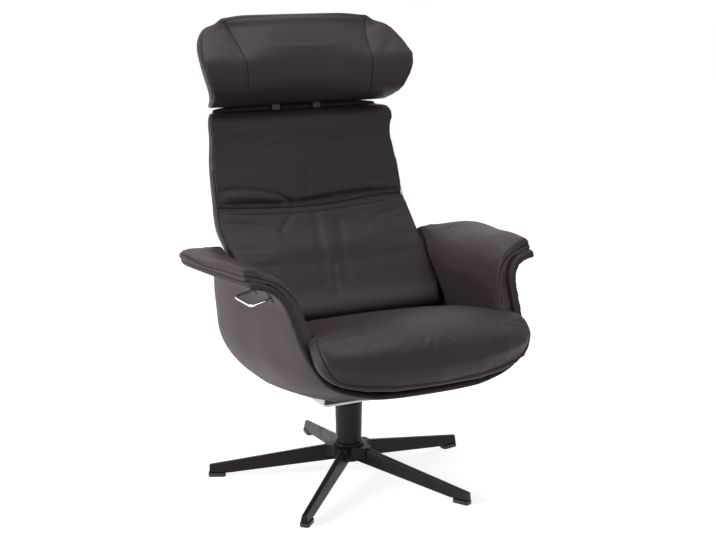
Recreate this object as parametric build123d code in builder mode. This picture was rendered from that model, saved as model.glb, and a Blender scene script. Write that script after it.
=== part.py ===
from build123d import *
import os
from math import cos, hypot, pi, radians, sin, tan

os.makedirs("parts", exist_ok=True)

# A swivel recliner: a five-armed star base, a leather-covered bucket shell with flared
# arms, a seat, a backrest that reclines in the shell and a winged headrest.
# All sizes are in millimetres. The sitter faces -Y and the sitter's left is +X.
# Depths (y) are counted from the swivel axis, which stands axis_y behind the origin.
# The origin is on the floor, under the middle of the whole chair.

axis_y = 55

# Driving dimensions: base
arm_count = 5
arm_start_angle = 10.3
arm_reach = 337
arm_root_width = 25
arm_tip_width = 19
arm_root_depth = 40
arm_tip_depth = 20
arm_ridge_share = 0.55
hub_top = 87
hub_radius = 37
hub_depth = 42
glide_length = 42
glide_width = 23
glide_height = 9
glide_overhang = 3
glide_screw_radius = 2.5
glide_screw_depth = 8
column_height = 103
column_foot_radius = 30.5
column_head_radius = 33
column_bore = 22.5
spigot_radius = 26
spigot_depth = 33

# Driving dimensions: swivel and mechanism
spindle_radius = 14
running_gap = 0.05
bush_length = 20
washer_thickness = 2.5
collar_height = 7
housing_rise = 18
housing_half_width = 100
housing_front = 78
housing_back = 52
housing_plate = 5
ear_spacing = 67.5
ear_thickness = 5
ear_half_width = 17
axle_y = -40
axle_rise = 27
axle_radius = 6
buffer_radius = 9
buffer_spacing = 40
tilt_angle = 10

# Driving dimensions: shell
shell_rise = 27
shell_wall = 14
floor_half_width = 120
flare_width = 107
flare_taper = 0.16
flare_full_y = 50
flare_end_y = 192
front_edge_y = -400
front_edge_height = 85
front_edge_slope = 0.63
front_fullness = 3.0
rear_fullness = 3.8

# Driving dimensions: arm pads, seat and chassis
pad_thickness = 27
pad_boxing = 14
pad_bottom = 163
pad_setback = 12
seat_half_width = 264
seat_board_thickness = 12
seat_board_half_width = 205
seat_board_front = 295
seat_board_rear = 25
chassis_half_width = 82
chassis_wall = 4
chassis_height = 101
chassis_front = 198
chassis_rear = 40
recline_y = 60
recline_rise = 125
recline_pin_radius = 8
bolt_radius = 4
bolt_half_spacing = 50

# Driving dimensions: gas strut and lever
strut_drop = 75.7
strut_front = 185
strut_radius = 11
strut_rod_radius = 4
strut_foot_y = 75
crossbar_radius = 6
strut_play = 1.8
lever_wire = 3.2
lever_front_y = -218
lever_rear_y = -129
lever_axis_x = -268
lever_axis_rise = 293
lever_reach = 74
lever_droop = 13
lever_corner = 9
cable_radius = 2.5

# Driving dimensions: backrest and headrest
upright_x = 84
upright_width = 20
upright_thickness = 6
upright_eye = 14
back_top = 629
cover_wall = 8
slide_lean = 8
pivot_y = 290
pivot_rise = 655
pivot_radius = 4.5
rail_x = 45
rail_width = 20
rail_thickness = 5
rail_length = 195
sleeve_wall = 2.9
sleeve_gap = 0.2
sleeve_top = 35
sleeve_length = 60
guide_plate_thickness = 4
head_split_y = 294
head_core_thickness = 8
lug_x = 70
lug_thickness = 4

# Heights that follow
column_top = hub_top + column_height
housing_floor = column_top + housing_rise
shell_floor = housing_floor + shell_rise
axle_z = shell_floor + axle_rise
chassis_floor = shell_floor + shell_wall
board_z = chassis_floor + chassis_height
recline_z = shell_floor + recline_rise
strut_z = recline_z - strut_drop
pivot_z = shell_floor + pivot_rise
lever_axis_z = shell_floor + lever_axis_rise

# Sketch planes through the swivel axis: from above, from the side and from the front
plan = Plane(origin=(0, axis_y, 0))
side = Plane(origin=(0, axis_y, 0), x_dir=(0, 1, 0), z_dir=(1, 0, 0))
front = Plane(origin=(0, axis_y, 0), x_dir=(1, 0, 0), z_dir=(0, -1, 0))
swivel_axis = Axis((0, axis_y, 0), (0, 0, 1))


def rod(y, z, x_from, x_to, radius):
    """A round bar across the chair, from one x to another."""
    with BuildPart() as bar:
        with BuildSketch(side.offset(x_from)):
            with Locations((y, z)):
                Circle(radius)
        extrude(amount=x_to - x_from, dir=(1, 0, 0))
    return bar.part


def block(x_from, x_to, y_from, y_to, z_from, z_to):
    """A plain block between two corners."""
    with BuildPart() as body:
        with BuildSketch(plan.offset(z_from)):
            with Locations(((x_from + x_to) / 2, (y_from + y_to) / 2)):
                Rectangle(x_to - x_from, y_to - y_from)
        extrude(amount=z_to - z_from)
    return body.part


def slab(points, x_from, x_to):
    """A side profile, given as (y, z) corners, extruded from one x to another."""
    with BuildPart() as body:
        with BuildSketch(side.offset(x_from)):
            with BuildLine():
                Polyline(*points, close=True)
            make_face()
        extrude(amount=x_to - x_from, dir=(1, 0, 0))
    return body.part


def ring(inner, outer, z_from, z_to):
    """A ring round the swivel axis."""
    with BuildPart() as body:
        with BuildSketch(plan.offset(z_from)):
            Circle(outer)
            Circle(inner, mode=Mode.SUBTRACT)
        extrude(amount=z_to - z_from)
    return body.part


# Star base: five tapering arms with a rounded ridge, joined by a webbed hub
def arm_section(angle, radius, width, bottom, top):
    """The arm's cross-section at one distance from the swivel axis."""
    turn = radians(angle)
    outwards = (cos(turn), sin(turn), 0)
    across = (-sin(turn), cos(turn), 0)
    origin = (radius * cos(turn), axis_y + radius * sin(turn), 0)
    ridge = width * arm_ridge_share
    with BuildSketch(Plane(origin=origin, x_dir=across, z_dir=outwards)) as section:
        with BuildLine():
            Polyline(
                (-width / 2, bottom),
                (width / 2, bottom),
                (ridge / 2, top),
                (-ridge / 2, top),
                close=True,
            )
        make_face()
        fillet(section.vertices().group_by(Axis.Z)[-1], ridge * 0.3)
    return section.sketch


arm_angles = [arm_start_angle + i * 360 / arm_count for i in range(arm_count)]
arm_tip_top = glide_height + arm_tip_depth
arm_knee = arm_reach - glide_length - 4
arm_fall = (hub_top - arm_tip_top) / arm_reach
web_half_angle = radians(180 / arm_count)
web_centre = (hub_radius + 5 - arm_root_width / 2) / (1 - sin(web_half_angle))
web_radius = web_centre * sin(web_half_angle) - arm_root_width / 2
glide_centre = arm_reach + glide_overhang - glide_length / 2
web_top = hub_top - 6
web_bottom = hub_top - arm_root_depth + 6

with BuildPart() as star_base:
    with BuildSketch(plan.offset(hub_top - hub_depth)):
        Circle(hub_radius)
    extrude(amount=hub_depth)
    fillet(star_base.edges().group_by(Axis.Z)[-1], 3)
    with BuildSketch(plan.offset(web_bottom)):
        Circle(web_centre * cos(web_half_angle))
        with PolarLocations(web_centre, arm_count, arm_start_angle + 180 / arm_count):
            Circle(web_radius, mode=Mode.SUBTRACT)
    extrude(amount=web_top - web_bottom)
    for angle in arm_angles:
        root = arm_section(angle, 1, arm_root_width, hub_top - arm_root_depth, hub_top)
        knee_width = arm_root_width + (arm_tip_width - arm_root_width) * arm_knee / arm_reach
        knee_top = hub_top - arm_fall * arm_knee
        knee = arm_section(angle, arm_knee, knee_width, glide_height, knee_top)
        tip = arm_section(angle, arm_reach, arm_tip_width, glide_height, arm_tip_top)
        loft(sections=[root, knee, tip], ruled=True)
    with BuildSketch(plan.offset(hub_top - spigot_depth)):
        Circle(spigot_radius)
    extrude(amount=hub_top, mode=Mode.SUBTRACT)
    with BuildSketch(plan.offset(0)):
        Circle(spigot_radius - 3)
    extrude(amount=hub_top, mode=Mode.SUBTRACT)
    with BuildSketch(plan.offset(glide_height)):
        with PolarLocations(glide_centre, arm_count, arm_start_angle):
            Circle(glide_screw_radius)
    extrude(amount=glide_screw_depth, mode=Mode.SUBTRACT)
star_base.part.label = "star_base"
export_step(star_base.part, "parts/star_base.step")

# Glides: plastic floor pads under the arm ends, each with a countersunk screw hole
screw_head_radius = glide_screw_radius * 2
screw_head_height = 3
screw_recess = 1.5
with BuildPart() as glides:
    with BuildSketch(plan):
        with PolarLocations(glide_centre, arm_count, arm_start_angle):
            RectangleRounded(glide_length, glide_width, glide_width * 0.3)
    extrude(amount=glide_height)
    fillet(glides.edges().group_by(Axis.Z)[-1], 1.2)
    with BuildSketch(plan):
        with PolarLocations(glide_centre, arm_count, arm_start_angle):
            Circle(glide_screw_radius)
    extrude(amount=glide_height, mode=Mode.SUBTRACT)
    with BuildSketch(plan):
        with PolarLocations(glide_centre, arm_count, arm_start_angle):
            Circle(screw_head_radius)
    extrude(amount=screw_recess + screw_head_height, mode=Mode.SUBTRACT)
glides.part.label = "glides"
export_step(glides.part, "parts/glides.step")

# Glide screws: heads sunk in the glides, shanks up into the arms
with BuildPart() as glide_screws:
    with BuildSketch(plan.offset(screw_recess)):
        with PolarLocations(glide_centre, arm_count, arm_start_angle):
            Circle(screw_head_radius)
    extrude(amount=screw_head_height)
    with BuildSketch(plan.offset(screw_recess + screw_head_height)):
        with PolarLocations(glide_centre, arm_count, arm_start_angle):
            Circle(glide_screw_radius)
    extrude(amount=glide_height + glide_screw_depth - screw_recess - screw_head_height)
glide_screws.part.label = "glide_screws"
export_step(glide_screws.part, "parts/glide_screws.step")

# Column: a tapering tube on the hub, its spigot in the hub's bore, with a rounded lip
lip = 4
bush_recess = 2
with BuildPart() as column_tube:
    with BuildSketch(front):
        with BuildLine():
            Polyline(
                (column_bore, hub_top - spigot_depth),
                (spigot_radius, hub_top - spigot_depth),
                (spigot_radius, hub_top),
                (column_foot_radius, hub_top),
                (column_head_radius, column_top - lip),
                (column_head_radius - lip / 2, column_top - lip / 4),
                (column_head_radius - lip, column_top),
                (column_bore + lip, column_top),
                (column_bore, column_top - bush_recess),
                close=True,
            )
        make_face()
    revolve(axis=swivel_axis)
column_tube.part.label = "column_tube"
export_step(column_tube.part, "parts/column_tube.step")

# Bushes: two sleeves in the column's bore in which the spindle turns
bush_top = column_top - bush_recess
lower_bush_bottom = hub_top - spigot_depth + 6
with BuildPart() as upper_bush:
    add(ring(spindle_radius + running_gap, column_bore, bush_top - bush_length, bush_top))
upper_bush.part.label = "upper_bush"
export_step(upper_bush.part, "parts/upper_bush.step")

with BuildPart() as lower_bush:
    add(
        ring(
            spindle_radius + running_gap,
            column_bore,
            lower_bush_bottom,
            lower_bush_bottom + bush_length,
        )
    )
lower_bush.part.label = "lower_bush"
export_step(lower_bush.part, "parts/lower_bush.step")

# Thrust washer: lies on the upper bush and carries the spindle's collar
collar_radius = spindle_radius + 6
with BuildPart() as thrust_washer:
    add(ring(spindle_radius, collar_radius, bush_top, bush_top + washer_thickness))
thrust_washer.part.label = "thrust_washer"
export_step(thrust_washer.part, "parts/thrust_washer.step")

# Retaining clip: sits in the spindle's groove just below the lower bush
clip_thickness = 1.6
clip_gap = 0.2
clip_depth = 2
clip_top = lower_bush_bottom - clip_gap
with BuildPart() as retaining_clip:
    add(
        ring(
            spindle_radius - clip_depth,
            spindle_radius + 4,
            clip_top - clip_thickness,
            clip_top,
        )
    )
retaining_clip.part.label = "retaining_clip"
export_step(retaining_clip.part, "parts/retaining_clip.step")

# Swivel spindle: a turned shaft with a collar on the washer, a neck under the housing
# and a groove for the clip near its foot
collar_bottom = bush_top + washer_thickness
neck_radius = spindle_radius + 3
with BuildPart() as swivel_spindle:
    with BuildSketch(front):
        with BuildLine():
            Polyline(
                (0, clip_top - clip_thickness - 4),
                (spindle_radius, clip_top - clip_thickness - 4),
                (spindle_radius, clip_top - clip_thickness),
                (spindle_radius - clip_depth, clip_top - clip_thickness),
                (spindle_radius - clip_depth, clip_top),
                (spindle_radius, clip_top),
                (spindle_radius, collar_bottom),
                (collar_radius, collar_bottom),
                (collar_radius, collar_bottom + collar_height),
                (neck_radius, collar_bottom + collar_height),
                (neck_radius, housing_floor),
                (0, housing_floor),
                close=True,
            )
        make_face()
    revolve(axis=swivel_axis)
swivel_spindle.part.label = "swivel_spindle"
export_step(swivel_spindle.part, "parts/swivel_spindle.step")

# Mechanism housing: a folded zinc plate on the spindle with side flanges that fall to
# the rear, and two ears that reach up into the shell to hold the tilt axle
housing_top = housing_floor + housing_plate
flange_thickness = 3
flange_front = 11
flange_rear = 2
with BuildPart() as mechanism_housing:
    with BuildSketch(plan.offset(housing_floor)):
        with Locations((0, (housing_back - housing_front) / 2)):
            RectangleRounded(2 * housing_half_width, housing_front + housing_back, 6)
    extrude(amount=housing_plate)
    flange = [
        (-housing_front + 8, housing_floor + 1),
        (housing_back - 8, housing_floor + 1),
        (housing_back - 8, housing_top + flange_rear),
        (axle_y, housing_top + flange_front),
        (-housing_front + 8, housing_top + flange_front),
    ]
    add(slab(flange, housing_half_width - flange_thickness, housing_half_width))
    add(slab(flange, -housing_half_width, flange_thickness - housing_half_width))
    ear = [
        (axle_y - ear_half_width, housing_floor + 1),
        (axle_y + ear_half_width, housing_floor + 1),
        (axle_y + ear_half_width * 0.62, axle_z),
        (axle_y - ear_half_width * 0.62, axle_z),
    ]
    for x in (ear_spacing, -ear_spacing - ear_thickness):
        add(slab(ear, x, x + ear_thickness))
        add(rod(axle_y, axle_z, x, x + ear_thickness, ear_half_width * 0.62))
        add(rod(axle_y, axle_z, x, x + ear_thickness, axle_radius), mode=Mode.SUBTRACT)
mechanism_housing.part.label = "mechanism_housing"
export_step(mechanism_housing.part, "parts/mechanism_housing.step")

# Tilt axle: fixed in the housing's ears, its ends turn in the chassis walls' bushes
axle_half_length = chassis_half_width + 3
with BuildPart() as tilt_axle:
    add(rod(axle_y, axle_z, -axle_half_length, axle_half_length, axle_radius))
tilt_axle.part.label = "tilt_axle"
export_step(tilt_axle.part, "parts/tilt_axle.step")

# Tilt buffers: rubber blocks on the housing, a tall pair under the shell's front that
# carries it upright and a low pair that stops it when it is tilted
buffer_gap = 0.3
front_buffer_y = -66
rear_buffer_y = 40
tilt = radians(tilt_angle)
tilted_floor = axle_z - (rear_buffer_y + buffer_radius - axle_y) * tan(tilt) - axle_rise / cos(tilt)
with BuildPart() as tilt_buffers:
    with BuildSketch(plan.offset(housing_top)):
        with Locations((buffer_spacing, front_buffer_y), (-buffer_spacing, front_buffer_y)):
            Circle(buffer_radius)
    extrude(amount=shell_floor - housing_top - buffer_gap)
    with BuildSketch(plan.offset(housing_top)):
        with Locations((buffer_spacing, rear_buffer_y), (-buffer_spacing, rear_buffer_y)):
            Circle(buffer_radius)
    extrude(amount=tilted_floor - housing_top - buffer_gap)
tilt_buffers.part.label = "tilt_buffers"
export_step(tilt_buffers.part, "parts/tilt_buffers.step")

# The bucket's shape. Its outside is a stack of level outlines. Each profile gives
# (reach from the swivel axis, height above the shell's floor), to the side, the front and
# the rear. Above the last height the arms flare out, by a share of flare_width.
side_profile = [
    (floor_half_width, 0),
    (floor_half_width + 53, 14),
    (floor_half_width + 109, 43),
    (floor_half_width + 137, 83),
    (floor_half_width + 151, 121),
    (floor_half_width + 157, 165),
    (floor_half_width + 162, 210),
    (floor_half_width + 165, 250),
    (floor_half_width + 168, 273),
]
front_profile = [
    (110, 0),
    (170, 15),
    (270, 46),
    (400, 85),
    (480, 115),
    (560, 165),
    (620, 210),
    (660, 250),
    (680, 273),
]
rear_profile = [
    (120, 0),
    (185, 14),
    (266, 43),
    (310, 83),
    (324, 121),
    (330, 165),
    (336, 210),
    (338, 250),
    (340, 273),
]
flare_profile = [(0.08, 287), (0.25, 302), (0.52, 312.5), (0.80, 317.5), (1.0, 319.5)]
outline_points = 36


def profile_normals(profile):
    """The inward normal at each point of a profile, as (reach, height)."""
    result = []
    for i in range(len(profile)):
        before = profile[max(i - 1, 0)]
        after = profile[min(i + 1, len(profile) - 1)]
        run = after[0] - before[0]
        rise = after[1] - before[1]
        size = hypot(run, rise)
        result.append((-rise / size, run / size))
    result[0] = (0, 1)
    return result


def inset_profile(profile, distance):
    """A profile moved inwards along its normals."""
    moved = []
    for (reach, height), (inwards, upwards) in zip(profile, profile_normals(profile)):
        moved.append((reach + distance * inwards, height + distance * upwards))
    return moved


def reach_at(profile, height):
    """The profile's reach at a height, in line between its points."""
    for (reach_1, height_1), (reach_2, height_2) in zip(profile, profile[1:]):
        if height <= height_2:
            share = (height - height_1) / (height_2 - height_1)
            return reach_1 + (reach_2 - reach_1) * share
    return profile[-1][0]


def flare_at(y):
    """How far the arm flares out at a depth: narrower to the front, faded to the rear."""
    share = (flare_end_y - y) / (flare_end_y - flare_full_y)
    share = min(max(share, 0), 1)
    fade = share * share * (3 - 2 * share)
    return (flare_width + flare_taper * min(y, flare_full_y)) * fade


def bucket_outline(height, half_width, front_reach, rear_reach, flare):
    """One level outline of the bucket: a rounded oblong with a flare on both sides."""
    centre = (rear_reach - front_reach) / 2
    depth = (rear_reach + front_reach) / 2
    points = []
    for i in range(outline_points):
        turn = 2 * pi * i / outline_points - pi / 2
        across = cos(turn)
        along = sin(turn) * half_width / depth
        fullness = rear_fullness if along > 0 else front_fullness
        size = (abs(across) ** fullness + abs(along) ** fullness) ** (-1 / fullness)
        x = across * size
        y = centre + along * size * depth
        points.append((x * half_width + x * abs(x) * flare * flare_at(y), y))
    with BuildSketch(plan.offset(shell_floor + height)) as outline:
        with BuildLine():
            Spline(*points, periodic=True)
        make_face()
    return outline.sketch


def bucket(distances, top_flare):
    """The bucket as a solid, moved inwards by a distance at each level and open to the top."""
    wall_reach = side_profile[-1][0]
    levels = list(side_profile)
    for share, height in flare_profile:
        levels.append((wall_reach + share * flare_width, height))
    normals = profile_normals(levels)
    sections = []
    for i in range(len(levels)):
        distance = distances[i]
        height = levels[i][1] + distance * normals[i][1]
        straight = i < len(side_profile)
        share = 0 if straight else flare_profile[i - len(side_profile)][0]
        reach = levels[i][0] if straight else wall_reach
        half_width = reach + distance * normals[i][0]
        front_reach = reach_at(inset_profile(front_profile, distance), height)
        rear_reach = reach_at(inset_profile(rear_profile, distance), height)
        sections.append(bucket_outline(height, half_width, front_reach, rear_reach, share))
    top = bucket_outline(height, half_width, front_reach, rear_reach, top_flare)
    with BuildPart() as solid:
        loft(sections=sections)
        extrude(top, amount=60)
    return solid.part


level_count = len(side_profile) + len(flare_profile)
bucket_outside = bucket([0] * level_count, 1)
bucket_inside = bucket([shell_wall] * level_count, 1.3)

# Where the four chassis bolts stand. The shell and the chassis are drilled for them
bolt_front_y = -85
bolt_rear_y = 27
bolt_places = [
    (bolt_half_spacing, bolt_front_y),
    (-bolt_half_spacing, bolt_front_y),
    (bolt_half_spacing, bolt_rear_y),
    (-bolt_half_spacing, bolt_rear_y),
]
bolt_head_radius = bolt_radius + 3
bolt_head_height = 4
nut_height = 6.5
bolt_top = chassis_floor + chassis_wall + nut_height


def bolt_shanks(radius, z_from, z_to):
    """A round solid at each of the four bolts, from one height to another."""
    with BuildPart() as shanks:
        with BuildSketch(plan.offset(z_from)):
            with Locations(*bolt_places):
                Circle(radius)
        extrude(amount=z_to - z_from)
    return shanks.part


# Outer shell: the bucket's wall, cut off square at the slanting front edge, with a rim
# that falls behind the arms and runs low round the rear of the backrest
edge_z = shell_floor + front_edge_height


def edge_y(z, setback):
    """The slanting front edge's depth at a height."""
    return front_edge_y + setback + front_edge_slope * (z - edge_z)


def ahead_of_edge(setback):
    """The space in front of the slanting edge."""
    low = edge_z - 200
    high = edge_z + 400
    points = [(edge_y(low, setback), low), (edge_y(high, setback), high), (-900, high), (-900, low)]
    return slab(points, -500, 500)


rim_height = flare_profile[-1][1] + shell_wall
above_rim = [
    (125, shell_floor + 420),
    (135, shell_floor + rim_height + 8),
    (160, shell_floor + rim_height - 22),
    (195, shell_floor + rim_height - 58),
    (240, shell_floor + rim_height - 92),
    (290, shell_floor + rim_height - 108),
    (400, shell_floor + rim_height - 112),
    (400, shell_floor + 420),
]
ear_slot_gap = 3.5
slot_half_width = ear_half_width + 9
with BuildPart() as outer_shell:
    add(bucket_outside)
    add(bucket_inside, mode=Mode.SUBTRACT)
    add(ahead_of_edge(0), mode=Mode.SUBTRACT)
    add(slab(above_rim, -500, 500), mode=Mode.SUBTRACT)
    with BuildSketch(plan.offset(shell_floor - 5)):
        with Locations(
            (ear_spacing + ear_thickness / 2, axle_y),
            (-ear_spacing - ear_thickness / 2, axle_y),
        ):
            Rectangle(ear_thickness + 2 * ear_slot_gap, 2 * slot_half_width)
    extrude(amount=shell_wall + 10, mode=Mode.SUBTRACT)
    for y in (lever_front_y, lever_rear_y):
        add(
            block(
                lever_axis_x - lever_reach,
                lever_axis_x + 5,
                y - lever_wire - 1.3,
                y + lever_wire + 1.3,
                lever_axis_z - 14,
                lever_axis_z + 8,
            ),
            mode=Mode.SUBTRACT,
        )
    add(bolt_shanks(bolt_radius, shell_floor - 1, chassis_floor + 1), mode=Mode.SUBTRACT)
outer_shell.part.label = "outer_shell"
export_step(outer_shell.part, "parts/outer_shell.step")

# Arm pads: padded linings of both arms, as thick as pad_thickness on the wall and the
# crown. The crown rounds down to a boxing band along the rim, and the pads end short of
# the backrest
pad_inside = bucket([shell_wall + pad_thickness] * level_count, 1.3)
crown_rounding = [(1.0, 0), (0.965, 5), (0.88, 9), (0.72, 12), (0.5, 14)]
rim_gap = 1.5


def pad_envelope():
    """The space inside the rim's outline, its upper edge rounded like the arm's crown."""
    wall_reach = side_profile[-1][0] - rim_gap
    boxing_top = rim_height + pad_boxing
    outlines = []
    for share, rise in crown_rounding:
        outlines.append(
            bucket_outline(
                boxing_top + rise,
                wall_reach,
                front_profile[-1][0],
                rear_profile[-1][0],
                share,
            )
        )
    foot = bucket_outline(
        pad_bottom, wall_reach, front_profile[-1][0], rear_profile[-1][0], crown_rounding[0][0]
    )
    with BuildPart() as envelope:
        extrude(foot, amount=boxing_top - pad_bottom)
        loft(sections=outlines)
    return envelope.part


pad_space = pad_envelope()
behind_pads = [
    (-55, shell_floor + pad_bottom - 10),
    (-38, shell_floor + 185),
    (38, shell_floor + 265),
    (122, shell_floor + 335),
    (165, shell_floor + 420),
    (400, shell_floor + 420),
    (400, shell_floor + pad_bottom - 10),
]
above_pads = [
    (40, shell_floor + 420),
    (60, shell_floor + rim_height + pad_boxing + 14),
    (110, shell_floor + rim_height + pad_boxing + 6),
    (150, shell_floor + rim_height - 4),
    (178, shell_floor + rim_height - 30),
    (190, shell_floor + rim_height - 80),
    (400, shell_floor + rim_height - 80),
    (400, shell_floor + 420),
]
backrest_space = 262
pad_ceiling = shell_floor + 420
pocket_half_length = 62
pocket_y = (lever_front_y + lever_rear_y) / 2


def arm_pad(side_sign):
    """One arm's pad: +1 is the sitter's left, -1 the sitter's right."""
    x_from = 150 if side_sign > 0 else -450
    with BuildPart() as pad:
        add(block(x_from, x_from + 300, -450, 250, shell_floor + pad_bottom, pad_ceiling))
        add(bucket_inside, mode=Mode.INTERSECT)
        add(ahead_of_edge(pad_setback), mode=Mode.SUBTRACT)
        add(pad_space, mode=Mode.INTERSECT)
        add(pad_inside, mode=Mode.SUBTRACT)
        add(slab(above_pads, x_from, x_from + 300), mode=Mode.SUBTRACT)
        add(slab(behind_pads, -backrest_space, backrest_space), mode=Mode.SUBTRACT)
    return pad.part.solids().sort_by(SortBy.VOLUME)[-1]


with BuildPart() as left_arm_pad:
    add(arm_pad(1))
left_arm_pad.part.label = "left_arm_pad"
export_step(left_arm_pad.part, "parts/left_arm_pad.step")

# The right pad has a pocket for the lever's bracket and a channel for its cable
cable_y = -206
pocket_depth = 20
with BuildPart() as right_arm_pad:
    add(arm_pad(-1))
    add(
        block(
            lever_axis_x - 30,
            lever_axis_x + pocket_depth,
            pocket_y - pocket_half_length,
            pocket_y + pocket_half_length,
            lever_axis_z - 22,
            lever_axis_z + 22,
        ),
        mode=Mode.SUBTRACT,
    )
    add(
        block(
            lever_axis_x - 30,
            lever_axis_x + 22,
            cable_y - 6,
            cable_y + 6,
            shell_floor + pad_bottom - 1,
            lever_axis_z,
        ),
        mode=Mode.SUBTRACT,
    )
right_arm_pad.part.label = "right_arm_pad"
export_step(right_arm_pad.part, "parts/right_arm_pad.step")

# Seat chassis: a folded steel channel bolted to the shell's floor. Its walls carry the
# tilt axle, the gas strut's pin and, in two rear ears, the backrest's recline pins
chassis_front_edge = chassis_floor + 26
chassis_flange = 20
ear_drop = 40
board_screw_radius = 2.5
board_screw_depth = 9
board_screw_x = chassis_half_width - chassis_flange / 2 - chassis_wall / 2
board_screw_places = [
    (board_screw_x, -chassis_front + 20),
    (-board_screw_x, -chassis_front + 20),
    (board_screw_x, seat_board_rear - 20),
    (-board_screw_x, seat_board_rear - 20),
]
with BuildPart() as seat_chassis:
    add(
        block(
            -chassis_half_width,
            chassis_half_width,
            -housing_front - 17,
            chassis_rear,
            chassis_floor,
            chassis_floor + chassis_wall,
        )
    )
    wall = [
        (-housing_front - 17, chassis_floor),
        (chassis_rear, chassis_floor),
        (chassis_rear, recline_z - ear_drop),
        (recline_y + upright_eye, recline_z),
        (recline_y, recline_z + upright_eye - 2),
        (chassis_rear, board_z),
        (-chassis_front, board_z),
        (-chassis_front, chassis_front_edge),
    ]
    for x in (chassis_half_width - chassis_wall, -chassis_half_width):
        add(slab(wall, x, x + chassis_wall))
    for x in (chassis_half_width - chassis_flange, -chassis_half_width):
        add(
            block(
                x,
                x + chassis_flange,
                -chassis_front,
                seat_board_rear,
                board_z - chassis_wall,
                board_z,
            )
        )
    for x in (chassis_half_width - chassis_wall, -chassis_half_width):
        hole = (x - 1, x + chassis_wall + 1)
        add(rod(axle_y, axle_z, *hole, axle_radius + 2), mode=Mode.SUBTRACT)
        add(rod(recline_y, recline_z, *hole, recline_pin_radius), mode=Mode.SUBTRACT)
        add(rod(-strut_front, strut_z, *hole, crossbar_radius - 1), mode=Mode.SUBTRACT)
    with BuildSketch(plan.offset(chassis_floor - 1)):
        with Locations(
            (ear_spacing + ear_thickness / 2, axle_y),
            (-ear_spacing - ear_thickness / 2, axle_y),
        ):
            Rectangle(ear_thickness + 2 * ear_slot_gap, 2 * slot_half_width)
    extrude(amount=chassis_wall + 2, mode=Mode.SUBTRACT)
    add(bolt_shanks(bolt_radius, chassis_floor - 1, bolt_top), mode=Mode.SUBTRACT)
    with BuildSketch(plan.offset(board_z - chassis_wall - 1)):
        with Locations(*board_screw_places):
            Circle(board_screw_radius)
    extrude(amount=chassis_wall + 1, mode=Mode.SUBTRACT)
    add(bucket_inside, mode=Mode.INTERSECT)
seat_chassis.part.label = "seat_chassis"
export_step(seat_chassis.part, "parts/seat_chassis.step")

# Axle bushes: plastic collars in the chassis walls, in which the tilt axle's ends turn
with BuildPart() as axle_bushes:
    for x in (chassis_half_width - chassis_wall, -chassis_half_width):
        add(rod(axle_y, axle_z, x, x + chassis_wall, axle_radius + 2))
    for x in (chassis_half_width - chassis_wall, -chassis_half_width):
        add(
            rod(axle_y, axle_z, x - 1, x + chassis_wall + 1, axle_radius + running_gap),
            mode=Mode.SUBTRACT,
        )
axle_bushes.part.label = "axle_bushes"
export_step(axle_bushes.part, "parts/axle_bushes.step")

# Chassis bolts: heads under the shell's floor, shanks through shell and chassis, and nuts
# on top of the chassis
with BuildPart() as chassis_bolts:
    add(bolt_shanks(bolt_head_radius, shell_floor - bolt_head_height, shell_floor))
    add(bolt_shanks(bolt_radius, shell_floor, bolt_top))
chassis_bolts.part.label = "chassis_bolts"
export_step(chassis_bolts.part, "parts/chassis_bolts.step")

with BuildPart() as chassis_nuts:
    with BuildSketch(plan.offset(chassis_floor + chassis_wall)):
        with Locations(*bolt_places):
            RegularPolygon(bolt_head_radius, 6)
            Circle(bolt_radius, mode=Mode.SUBTRACT)
    extrude(amount=nut_height)
chassis_nuts.part.label = "chassis_nuts"
export_step(chassis_nuts.part, "parts/chassis_nuts.step")

# Seat board: plywood on the chassis flanges, held by four screws from below
with BuildPart() as seat_board:
    with BuildSketch(plan.offset(board_z)):
        with Locations((0, (seat_board_rear - seat_board_front) / 2)):
            RectangleRounded(2 * seat_board_half_width, seat_board_front + seat_board_rear, 60)
    extrude(amount=seat_board_thickness)
    with BuildSketch(plan.offset(board_z)):
        with Locations(*board_screw_places):
            Circle(board_screw_radius)
    extrude(amount=board_screw_depth, mode=Mode.SUBTRACT)
seat_board.part.label = "seat_board"
export_step(seat_board.part, "parts/seat_board.step")

with BuildPart() as board_screws:
    with BuildSketch(plan.offset(board_z - chassis_wall - 3)):
        with Locations(*board_screw_places):
            Circle(board_screw_radius * 2)
    extrude(amount=3)
    with BuildSketch(plan.offset(board_z - chassis_wall)):
        with Locations(*board_screw_places):
            Circle(board_screw_radius)
    extrude(amount=chassis_wall + board_screw_depth)
board_screws.part.label = "board_screws"
export_step(board_screws.part, "parts/board_screws.step")

# Seat cushion: a long pillow with a high front roll. Its side view is drawn at several
# stations across the chair. Towards both ends it shrinks round the roll's middle. The
# board, the shell and the arm pads shape its underside and its sides
seat_rear = -37
seat_rear_rise = 174
seat_roll_rise = 231
seat_nose_y = -454
seat_piping_rise = 108
roll_y = -366
roll_rise = 196
cushion_stations = [
    (0, 1),
    (0.4, 1),
    (0.65, 1),
    (0.82, 1),
    (0.9, 0.97),
    (0.955, 0.87),
    (0.988, 0.68),
    (1.0, 0.42),
]


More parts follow.
